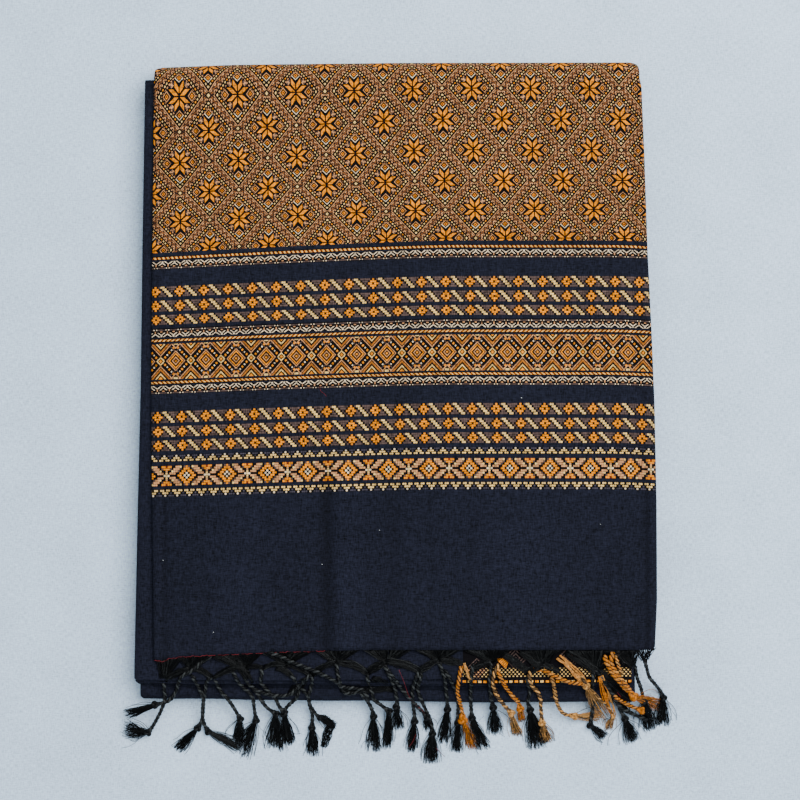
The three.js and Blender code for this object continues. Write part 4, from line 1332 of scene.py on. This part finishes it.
    def brush(self, maker: MeshMaker, pixel: np.ndarray, place: np.ndarray, strand: Strand) -> None:
        """Adds the loose yarns past the knot.

        Each yarn starts inside the knot, aims at a tip plus its own share of the spread, wavers across
        its way by a sine, and settles towards the ground.

        Args:
            maker: the run's mesh.
            pixel: the knot's pixel.
            place: the knot's middle.
            strand: the cord.
        """
        count, rings = strand.yarns, 9
        tips = np.asarray(strand.tips, dtype=float)
        blend = self.random.random((count, len(tips))) ** 2.5
        blend /= blend.sum(axis=1, keepdims=True)
        aim = blend @ tips - pixel
        length = np.linalg.norm(aim, axis=1, keepdims=True)
        side = np.stack([-aim[:, 1], aim[:, 0]], axis=-1) / length
        share = np.linspace(0, 1, rings)[None, :, None]
        reach = self.random.uniform(0.78, 1.08, (count, 1, 1))
        frizz = np.where(self.random.random((count, 1, 1)) < self.frizzy_share, *self.frizz)
        spread = self.random.normal(0, strand.spread, (count, 1, 1)) * frizz
        swing, rate, phase = (self.random.uniform(*span, (count, 1, 1)) for span in ((0.3, 1.8), (3, 8), (0, 6)))
        waver = swing * np.sin(share * rate + phase)
        root = self.random.normal(0, 0.9, (count, 1, 1))
        bulge = np.sin(np.clip(share * 1.3, 0, 1) * np.pi / 2)
        sideways = root * (1 - share) + spread * bulge + waver * share
        route = pixel + aim[:, None] * share * reach + side[:, None] * sideways
        flat = Ground.lay(route, self.yarn)
        heap = self.random.uniform(0, 2.2, (count, 1)) * (1 - share[..., 0] * 0.75)
        start = place[2] + self.random.normal(0, 0.5, (count, 1))
        settle = ease(share[..., 0] * 1.6)
        flat[..., 2] = np.maximum(lerp(start, flat[..., 2] + heap, settle), 0.25)
        dark = 1.0 if strand.run is Run.GOLD else 0.0
        darker = self.random.random(count) < self.dark_share
        tints = np.where(darker, dark, lerp(*strand.tint, 0.75 * self.random.random(count)))
        maker.add_tubes(flat, self.yarn * (1.15 - 0.4 * share[..., 0]), 3, tints)

    def fan(self, maker: MeshMaker, fan: Fan) -> None:
        """Adds the warp ends that gather at a knot.

        Each end runs straight from its own place at the hem to its own place at the knot, plus a sag
        and a waver that are sines of the way.

        Args:
            maker: the run's mesh.
            fan: the fan.
        """
        count = round((fan.right - fan.left) * self.ends_a_pixel)
        roots = np.linspace(fan.left, fan.right, count) + self.random.normal(0, 0.25, count)
        start = np.stack([roots, Ground.hem(roots) - self.random.uniform(0.4, 2.4, count)], axis=-1)[:, None]
        end = np.asarray(fan.knot) + self.random.normal(0, 1.0, (count, 1, 2)) * [2.2, 1.1]
        share = np.linspace(0, 1, 7)[None, :, None]
        arch = np.sin(share * np.pi)
        sag = np.stack([np.zeros(count), self.random.uniform(-0.4, 1.4, count)], axis=-1)[:, None]
        route = lerp(start, end, share) + sag * arch + self.random.normal(0, 0.2, (count, 7, 2)) * arch
        path = Ground.lay(route, 0.2)
        path[..., 2] += self.random.uniform(0, 0.9, (count, 1)) * arch[..., 0]
        maker.add_tubes(path, 0.2, 3, self.random.random(count) ** 2.6)

    def sash(self, maker: MeshMaker, sash: Sash) -> None:
        """Adds a bundle between two knots.

        Its yarns lie side by side over its width, closest at both ends, along an arch that is the sine
        of the way.

        Args:
            maker: the run's mesh.
            sash: the bundle.
        """
        start, end = np.asarray(sash.start), np.asarray(sash.end)
        share = np.linspace(0, 1, 9)[None, :, None]
        arch = np.sin(share * np.pi)
        side = np.array([-(end - start)[1], (end - start)[0]]) / np.linalg.norm(end - start)
        place = self.random.uniform(-1, 1, (sash.yarns, 1, 1)) * sash.width
        bulge = 0.6 + 0.4 * arch
        wander = self.random.normal(0, 0.35, (sash.yarns, 9, 1))
        wander = wander + 0.8 * np.sin(share * 7 + self.random.uniform(0, 6, (sash.yarns, 1, 1)))
        route = lerp(start, end, share) + side * (place * bulge + wander) - np.array([0.0, sash.arch]) * arch
        path = Ground.lay(route, sash.radius, sash.lift)
        path[..., 2] += self.random.uniform(0, 0.8, (sash.yarns, 1))
        maker.add_tubes(path, sash.radius, 4, lerp(*sash.tint, self.random.random(sash.yarns) ** 2.8))

    def wisps(self, maker: MeshMaker) -> None:
        """Adds the long loose fibres that stray over the floor."""
        for route in self.strays:
            path = Ground.lay(slide(route, 1.5), 0.1)
            maker.add_tubes(path[None], 0.09, 3, 0.4)


@dataclass
class LooseThreads:
    """The red thread along the hem and the loose ones."""

    routes: tuple[Rows, ...] = (
        ((154.4, 660.8), (163.5, 661.2), (170.5, 658.6), (182.6, 656.9), (201.7, 656), (213, 655.2), (235, 654.3),
         (280, 652.2), (325, 651)),
        ((319.4, 386.7), (321, 391), (324, 393.5), (326.3, 397)),
        ((399, 670), (404, 682), (409, 696), (415, 704), (422, 710), (425.5, 716)),
        ((416, 734), (413, 741), (409, 747)), ((436, 748), (441, 753), (445, 757)), ((617, 692), (621, 697)),
    )
    lint: Rows = ((162.5, 560), (321.6, 564), (379, 530), (213, 632), (600, 524), (521, 397.5))
    on_face: float = Outline.flap_z + 0.15
    in_hem: float = Outline.flap_z - 0.1

    def build(self, material: bpy.types.Material) -> bpy.types.Object:
        """Makes the threads as one object, with the first two on the face and the others over the ground.

        Args:
            material: the thread's material.

        Returns:
            The threads' object.
        """
        maker = MeshMaker("red_threads")
        for number, route in enumerate(self.routes):
            flat = slide(route, 0.8)
            if number < 2:
                x, y = VIEW.place(flat[:, 0], flat[:, 1], Outline.flap_z)
                wobble = 0.22 * np.sin(x * 0.9) + 0.16 * np.sin(x * 2.3 + 1)
                z = np.full(len(x), self.on_face if number else self.in_hem)
                path = np.stack([x, y + wobble, z], axis=-1)
            else:
                path = Ground.lay(flat, 0.2, 2.6)
            maker.add_tubes(path[None], 0.15 if number == 0 else 0.12, 5, 0.5)
        for u, v in self.lint:
            x, y = VIEW.place(np.array([u, u + 0.9]), np.array([v, v + 0.5]), Outline.flap_z)
            maker.add_tubes(np.stack([x, y, np.full(2, self.on_face)], axis=-1)[None], 0.14, 4, 1.0)
        thing = maker.make([material])
        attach(thing, "root")
        return thing


@dataclass(frozen=True)
class Crease:
    """A soft trough or ridge of the end panel, from one pixel row to another."""

    column: float
    width: float
    depth: float
    top: float
    bottom: float
    lean: float = 0.0

    def dip(self, u: np.ndarray, v: np.ndarray) -> np.ndarray:
        """How far it lowers the face, as a bell over its width that fades in over 40 rows.

        Args:
            u: pixel columns.
            v: pixel rows.

        Returns:
            Millimetres down, negative for a ridge.
        """
        reach = (u - self.column - self.lean * (v - self.bottom) / 100) / self.width
        fade = ease((v - self.top) / 40) * ease((self.bottom + 20 - v) / 20)
        return self.depth * np.exp(-(reach ** 2)) * fade


@dataclass
class EndPanel:
    """The patterned end of the saree, the top face of the folded pile, which turns down round its top fold."""

    columns: int = 150
    wall: float = 0.9
    face: float = 4.2
    near: tuple[float, ...] = (0.0, 0.0012, 0.003, 0.006, 0.01, 0.015)
    roll: float = 6.5
    drops: tuple[float, float] = (1.35, 3.0)
    slip: Rows = ((88, 2.9), (119, 2.3), (150, 1.7), (180, 1.55), (209, 2.6), (238, 4.25))
    skew: float = 0.0235
    bows: Rows = ((23, 5), (63, 5), (77.4, 5.1), (91, 10.5), (120, 14.7), (180, 14.5), (250, 12.5),
                  (280, 10.8), (490, 8))
    creases: tuple[Crease, ...] = (
        Crease(327, 7, 0.9, 440, 700), Crease(347, 14, -0.35, 440, 700), Crease(393, 8, 0.35, 460, 700),
        Crease(431, 1.8, 0.32, 480, 700), Crease(286, 1.8, 0.25, 580, 700), Crease(609, 2.0, 0.4, 540, 700),
        Crease(637, 1.8, 0.25, 570, 700), Crease(647, 2.8, 0.8, 440, 700), Crease(653, 3.0, -0.2, 440, 700),
        Crease(164.5, 2.6, 0.6, 430, 700), Crease(157, 3.0, -0.2, 430, 700), Crease(520, 30, -0.3, 500, 700),
        Crease(240, 26, -0.3, 480, 700), Crease(470, 5, 0.15, 500, 700), Crease(205, 4, 0.15, 520, 700),
        Crease(643, 3.0, 0.35, 90, 440, 2.5), Crease(400, 12, 0.2, 200, 440), Crease(250, 10, 0.15, 260, 430),
    )

    def bow(self, t: np.ndarray, u: np.ndarray) -> np.ndarray:
        """How far the weave's rows hang below level, in pixels.

        Above row 490 it is an amount that changes with the row, times ((450 - u) / 295) to the power 1.25;
        further down it turns into the hem's own curve.

        Args:
            t: rows of the weave.
            u: pixel columns.

        Returns:
            Pixels down.
        """
        amount = table(self.bows, t)
        shape = np.clip((450 - u) / 295, 0, 2) ** 1.25
        hem = table(Outline.hem, u)
        right = 1.2 * np.clip((u - 600) / 47, 0, 2) ** 2
        low = ease((t - 500) / 150)
        corner = 4.5 * np.clip((u - 649) / 8, 0, 1.2) ** 2 + 3.0 * np.clip((158 - u) / 5, 0, 1.2) ** 2
        return lerp(amount * shape, hem, low) + right * (1 - low) - corner * ease((t - 615) / 35)

    def grid(self, rows: Sequence[float]) -> tuple[np.ndarray, np.ndarray, np.ndarray]:
        """Points of the face, their columns in the weave, and their mark.

        A point lies flat, lowered by its creases and its rolled edges, until it reaches the top fold, and
        then goes round it on the fold's radius, by an angle of its way past the fold over that radius.

        Args:
            rows: rows of the weave, falling towards the hem, in pixels.

        Returns:
            Points (rows, columns, 3) in millimetres, weave columns (rows, columns) in pixels, and how
            hollow each place is, as its mark.
        """
        t = np.asarray(rows)[:, None]
        share = spaced(self.near, self.columns)
        level = VIEW.level(np.maximum(t, 77))
        left = table(Outline.flap_left, level)
        right = table(Outline.flap_right, level)
        x = lerp(left, right, share)
        u = VIEW.column(x)
        v = t + self.bow(t, u)
        y = VIEW.level(v)
        radius = Outline.fold_radius
        brink = table(Outline.flap_top, x) - radius
        turn = np.minimum(np.maximum(y - brink, 0) / radius, np.pi)
        drop_left = rolled(x - left, self.roll, self.drops[0])
        drop_right = rolled(right - x, self.roll, self.drops[1])
        dip = sum(crease.dip(u, v) for crease in self.creases)
        wave = 0.12 * np.sin(u / 47 + v / 90) * np.sin(v / 61 - u / 130) * ease((v - 90) / 60)
        down = drop_left + drop_right + (dip - wave) * (turn <= 0)
        ring = radius - down
        z = np.where(turn > 0, radius + ring * np.cos(turn), Outline.flap_z - down)
        y = np.where(turn > 0, brink + ring * np.sin(turn), y)
        gauge = table([(91, 1.0), (280, 1.012)], t) - 0.012 * (u < VIEW.middle) * ease((260 - t) / 30)
        lean = self.skew * np.clip(t - 91, -40, 150) * ease((250 - t) / 8)
        # Painted shade: darker in crease troughs, lighter on ridges and where the wave rises, and darker along the
        # rolled right and left edges.
        painted_shade = np.clip(0.5 - 0.5 * dip + 0.25 * wave, 0.1, 0.8)
        painted_shade = painted_shade - 0.2 * ease(1 - (right - x) / 6) - 0.12 * ease(1 - (x - left) / 3)
        return np.stack([x, y, z], axis=-1), (u - VIEW.middle) / gauge - lean, painted_shade

    def build(self, bands: Sequence["Band"], finishes: dict["Weave", bpy.types.Material]) -> bpy.types.Object:
        """Makes the panel with its rows laid along the woven bands.

        Args:
            bands: the woven bands from the fold to the hem.
            finishes: material of each kind of band.

        Returns:
            The panel's object.
        """
        kinds = list(finishes)
        rows, tops, bottoms, slots, shifts = [bands[0].top], [], [], [], []
        for band in bands:
            height = band.bottom - band.top
            steps = max(1, round(height / self.face))
            marks = np.linspace(band.top, band.bottom, steps + 1)
            local = (marks - band.top) if not band.flipped else height - (marks - band.top)
            local = local * (band.threads / height) if band.threads else local
            local = local + table(self.slip, marks) if band.kind is Weave.STARS else local
            rows.extend(marks[1:].tolist())
            tops.extend(local[:-1].tolist())
            bottoms.extend(local[1:].tolist())
            slots.extend([kinds.index(band.kind)] * steps)
            shifts.extend([band.shift] * steps)
        grid, weave, painted_shade = self.grid(rows)
        across = corners(weave) - np.array(shifts)[:, None, None]
        down = np.broadcast_to(np.stack([tops, bottoms, bottoms, tops], axis=-1)[:, None], across.shape)
        maker = MeshMaker("end_panel")
        maker.add_grid(grid, np.stack([across, down], axis=-1), slots, painted_shade.ravel())
        return maker.make([finishes[kind] for kind in kinds])


class Weave(Enum):
    """Kinds of woven band."""

    NAVY = "navy"
    STARS = "star field"
    TWIST = "twisted line"
    CHAIN = "lozenge chain"
    FLOWERS = "striped flowers"
    WIDE = "wide diamonds"
    PYRAMIDS = "pyramids"
    DIAMONDS = "orange diamonds"


@dataclass(frozen=True)
class Band:
    """A woven band: its kind, its rows in the photograph, and its phase in pixels.

    A flipped band is turned over, with its first row at the bottom. The rows of threads are given where
    a chart has them, and 0 where the band's formula counts in pixels.
    """

    kind: Weave
    top: float
    bottom: float
    shift: float = 0.0
    flipped: bool = False
    threads: int = 0


def woven_bands() -> list[Band]:
    """The end panel's bands, with plain navy cloth between them.

    Returns:
        The bands from the fold to the hem.
    """
    marked = [
        Band(Weave.STARS, 23, 240.4, 12.6),
        Band(Weave.TWIST, 244.3, 247.9),
        Band(Weave.CHAIN, 249.4, 257.7, 45.0),
        Band(Weave.FLOWERS, 276, 286.8, 45.2, threads=5),
        Band(Weave.FLOWERS, 290.4, 301.4, 45.5, threads=5),
        Band(Weave.FLOWERS, 305, 314.8, 45.8, threads=5),
        Band(Weave.CHAIN, 318.4, 327.3, 45.0, True),
        Band(Weave.TWIST, 329.1, 332.7, 0.0, True),
        Band(Weave.WIDE, 334.5, 370.2, 46.6),
        Band(Weave.TWIST, 371.6, 375.5),
        Band(Weave.CHAIN, 376.8, 385, 47.0),
        Band(Weave.FLOWERS, 402.9, 414.3, 47.3, threads=5),
        Band(Weave.FLOWERS, 417.9, 428.6, 47.8, threads=5),
        Band(Weave.FLOWERS, 432.1, 442.9, 48.1, threads=5),
        Band(Weave.PYRAMIDS, 447, 453.6, 42.4, threads=3),
        Band(Weave.DIAMONDS, 458, 478.2, 68.5, threads=9),
        Band(Weave.PYRAMIDS, 481.8, 489.3, 43.2, True, threads=3),
    ]
    bands, edge = [], marked[0].top
    for band in marked:
        if band.top > edge:
            bands.append(Band(Weave.NAVY, edge, band.top))
        bands.append(band)
        edge = band.bottom
    bands.append(Band(Weave.NAVY, edge, Outline.hem_row))
    return bands


@dataclass
class FoldedTurn:
    """A turn of plain cloth that lies flat and folds under itself at the front."""

    name: str
    top: float
    radius: float
    left: Rows
    right: Rows
    bottom: Rows
    south: float = -178.0
    leg: float = 10.0
    drop: float = 1.2
    roll: float = 4.0
    wall: float = 0.5
    inset: float = 0.0
    columns: int = 90
    near: tuple[float, ...] = (0.0, 0.001, 0.003, 0.006, 0.01, 0.014)
    line: Rows = ((-200, 0.0), (200, 0.0))

    def build(self, material: bpy.types.Material) -> bpy.types.Object:
        """Makes the turn.

        The face runs flat from the north edge to the fold, half round the fold on its radius, and
        back along the leg; the side edges drop a quarter round, and the front corners are rounded off.

        Args:
            material: the cloth's material.

        Returns:
            The turn's object.
        """
        flat = np.linspace(0, 1, 40) ** 0.6
        arc = np.linspace(0, np.pi, 13)[1:]
        reach = np.concatenate([flat, np.ones(len(arc) + 3)])[:, None]
        turn = np.concatenate([np.zeros(len(flat)), arc, np.full(3, np.pi)])[:, None]
        back = np.concatenate([np.zeros(len(flat) + len(arc)), [0.33, 0.66, 1.0]])[:, None]
        share = spaced(self.near, self.columns)
        level = lerp(Outline.north, self.south, reach)
        left = table(self.left, level) + self.inset
        right = table(self.right, level) - self.inset
        x = lerp(left, right, share)
        brink = table(self.bottom, x) + self.radius + table(self.line, x)
        fold = brink + 0.2 * np.sin(x / 19 + self.top * 2) + 0.1 * np.sin(x / 7.3 + self.top)
        run = lerp(Outline.north, fold, reach)
        corner = np.clip(1 - np.minimum(x - left, right - x) / 2.2, 0, 1) ** 2 * 1.4
        y = run - self.radius * np.sin(turn) + back * self.leg + corner * reach ** 8
        down = rolled(x - left, self.roll, self.drop) + rolled(right - x, self.roll, self.drop)
        z = self.top - self.radius + self.radius * np.cos(turn)
        z = np.where(turn < 0.01, self.top - down, np.minimum(z, self.top - down * np.cos(turn / 2)))
        past = (turn * self.radius + back * self.leg) / VIEW.pitch
        v = VIEW.row(run) + past - VIEW.row(fold)
        maker = MeshMaker(self.name)
        uv = np.stack([corners(VIEW.column(x)), corners(v)], axis=-1)
        # A mark of 0.56 paints light on every turn, 6 per cent brighter than its cloth, against the shade under the
        # end panel.
        maker.add_grid(np.stack([x, y, z], axis=-1), uv, tint=0.56)
        return maker.make([material])


@dataclass
class UnderQuarter:
    """The quarter of the pallu that lies under the end panel and shows only at its edges."""

    top: float = Outline.under_z
    north: float = 172.0
    south: float = -154.0
    insets: tuple[float, float] = (6.0, 9.0)
    setback: float = 1.2
    wall: float = 0.8

    def build(self, material: bpy.types.Material) -> bpy.types.Object:
        """Makes the quarter as a flat skin that follows the panel's outline a little way in.

        Args:
            material: the cloth's material.

        Returns:
            The quarter's object.
        """
        share = np.linspace(0, 1, 40)
        level = lerp(self.north, self.south, share)[:, None]
        left = table(Outline.flap_left, level) + self.insets[0]
        right = table(Outline.flap_right, level) - self.insets[1]
        x = lerp(left, right, share[None, :])
        hem = VIEW.level(Ground.hem(VIEW.column(x))) + self.setback
        y = lerp(self.north, hem, share[:, None])
        maker = MeshMaker("under_quarter")
        maker.add_grid(np.stack([x, y, np.full(x.shape, self.top)], axis=-1))
        return maker.make([material])


@dataclass
class HiddenLayers:
    """The turns inside the pile, which show only as fine layers at its sides."""

    layers: int = 26
    top: float = 15.1
    waist: float = 10.35
    groove: float = 0.45
    points: int = 48
    seed: int = 5

    def build(self, material: bpy.types.Material) -> bpy.types.Object:
        """Makes the layers as one solid.

        Each layer has three rings round the pile, of which the middle one stands out by the groove's
        depth, and each layer stands in by its own amount.

        Args:
            material: the cloth's material.

        Returns:
            The solid's object.
        """
        random = np.random.default_rng(self.seed)
        rows = []
        for number in range(self.layers):
            low, high = (self.top * (number + k) / self.layers for k in (0, 1))
            own = random.uniform(0.0, 0.9, 2)
            for share, inset in ((0.02, self.groove), (0.5, 0.0), (0.98, self.groove)):
                rows.append(self.ring(lerp(low, high, share), inset + own[0], inset + own[1]))
        grid = np.stack(rows[::-1])
        closed = np.concatenate([grid, grid[:, :1]], axis=1)
        maker = MeshMaker("hidden_layers")
        maker.add_grid(closed)
        for cap in (grid[0], grid[-1][::-1]):
            maker.add(cap, np.arange(len(cap))[None])
        thing = maker.make([material])
        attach(thing, "root")
        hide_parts("folded_core")
        return thing

    def ring(self, z: float, west: float, east: float) -> np.ndarray:
        """Ring round the pile at a height, from its south-west corner towards the east.

        Args:
            z: its height in millimetres.
            west: how far its left side and back stand in.
            east: how far its right side stands in.

        Returns:
            Points (n, 3).
        """
        left, right, front, depth = (
            (Outline.upper_left, Outline.upper_right, Outline.upper_bottom, 6.5) if z > self.waist
            else (Outline.lower_left, Outline.lower_right, Outline.lower_bottom, 6.0))
        share = np.linspace(0.015, 0.985, self.points)
        across = lerp(-145.0, 136.0, share)
        south = np.stack([across, table(front, across) + depth], axis=-1)
        north = np.stack([lerp(136.0, -143.0, share), np.full(self.points, Outline.north - west)], axis=-1)
        side = lerp(-172.0, Outline.north, share)
        east_side = np.stack([table(right, side) - 0.8 - east, side], axis=-1)
        west_side = np.stack([table(left, side[::-1]) + 0.8 + west, side[::-1]], axis=-1)
        ring = np.concatenate([south, east_side, north, west_side])
        return np.concatenate([ring, np.full((len(ring), 1), z)], axis=-1)


@dataclass(frozen=True)
class FloorFinish(Finish):
    """The pale, faintly mottled surface that the cloth lies on."""

    name: str = "pale_floor"
    roughness: float = 0.7
    specular: float = 0.3
    bump: float = 0.0
    grain: float = 0.25

    def colour(self, palette: Palette) -> Colour:
        """Pale blue-grey."""
        return (0.68, 0.83, 1.0, 1.0)


@dataclass
class Studio:
    """The floor and the light."""

    side: float = 3000.0
    drop: float = 0.2
    energy: float = 44.0
    size: float = 1.5
    place: tuple[float, float, float] = (0.7, 0.6, 1.5)
    turn: tuple[float, float, float] = (-0.38, 0.43, 0.0)
    lamp_colour: tuple[float, float, float] = (0.93, 0.97, 1.0)
    world_colour: Colour = (0.8, 0.91, 1.0, 1.0)
    world_strength: float = 0.73

    def build(self) -> None:
        """Makes the floor, a wide soft lamp overhead to the right, and a pale world."""
        ends = np.array([-self.side, self.side])
        x, y = np.meshgrid(ends, -ends)
        maker = MeshMaker("floor")
        maker.add_grid(np.stack([x, y, np.full(x.shape, -self.drop)], axis=-1))
        ground = maker.make([FloorFinish().make()])
        lamp = bpy.data.lights.new("soft_box", "AREA")
        lamp.shape, lamp.size, lamp.size_y = "RECTANGLE", self.size, self.size
        lamp.energy, lamp.color = self.energy, self.lamp_colour
        light = bpy.data.objects.new("soft_box", lamp)
        light.location, light.rotation_euler = self.place, self.turn
        bpy.context.scene.collection.objects.link(light)
        world = bpy.data.worlds.new("studio")
        world.use_nodes = True
        background = world.node_tree.nodes["Background"]
        background.inputs["Color"].default_value = self.world_colour
        background.inputs["Strength"].default_value = self.world_strength
        bpy.context.scene.world = world


def main() -> None:
    """Builds the picture in order, reports each piece, and writes the sizes that the picture is held to."""
    logging.basicConfig(level=logging.INFO, format="%(message)s")
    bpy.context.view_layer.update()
    VIEW.camera()
    navy = Finish().make()
    finishes = {
        Weave.NAVY: navy, Weave.STARS: StarField().make(), Weave.TWIST: TwistedLine().make(),
        Weave.CHAIN: LozengeChain().make(), Weave.FLOWERS: FlowerStripe().make(), Weave.WIDE: WideBand().make(),
        Weave.PYRAMIDS: PyramidRow().make(), Weave.DIAMONDS: DiamondBand().make(),
    }
    gold = Yarn("gold_yarn", colours=(tone(240, 136, 6), tone(190, 138, 76), tone(12, 6, 4)), specular=0.2)
    red = Yarn("red_thread", colours=(tone(120, 34, 40), tone(120, 34, 40), tone(190, 190, 186)), specular=0.1)
    blacks, golds, reds = (yarn.make() for yarn in (Yarn(), gold, red))
    fringe = Fringe().build(blacks, golds)
    pieces = [*fringe, LooseThreads().build(reds)]
    panel = EndPanel()
    flap = panel.build(woven_bands(), finishes)
    declare(flap, ["pallu_flap"])
    thicken(flap, panel.wall)
    quarter = UnderQuarter()
    under = quarter.build(navy)
    declare(under, ["pallu_under_quarter"])
    thicken(under, quarter.wall)
    pieces += [flap, under, HiddenLayers().build(navy)]
    border = BorderCloth().make()
    for number, (top, line) in enumerate(Outline.turns):
        turn = FoldedTurn(
            f"upper_turn_{number + 1}", top, 1.0, Outline.upper_left, Outline.upper_right, Outline.upper_bottom,
            line=line, inset=0.4 * number)
        thing = turn.build(navy if number else border)
        declare(thing, ["upper_body_turn"])
        thicken(thing, turn.wall)
        pieces.append(thing)
    turn = FoldedTurn(
        "lower_turn", Outline.lower_z, 5.1, Outline.lower_left, Outline.lower_right, Outline.lower_bottom)
    thing = turn.build(navy)
    declare(thing, ["lower_body_fold"])
    thicken(thing, turn.wall)
    for piece in (*pieces, thing):
        LOG.info("%s: %d faces", piece.name, len(piece.data.polygons))
    Studio().build()


if __name__ == "__main__":
    main()
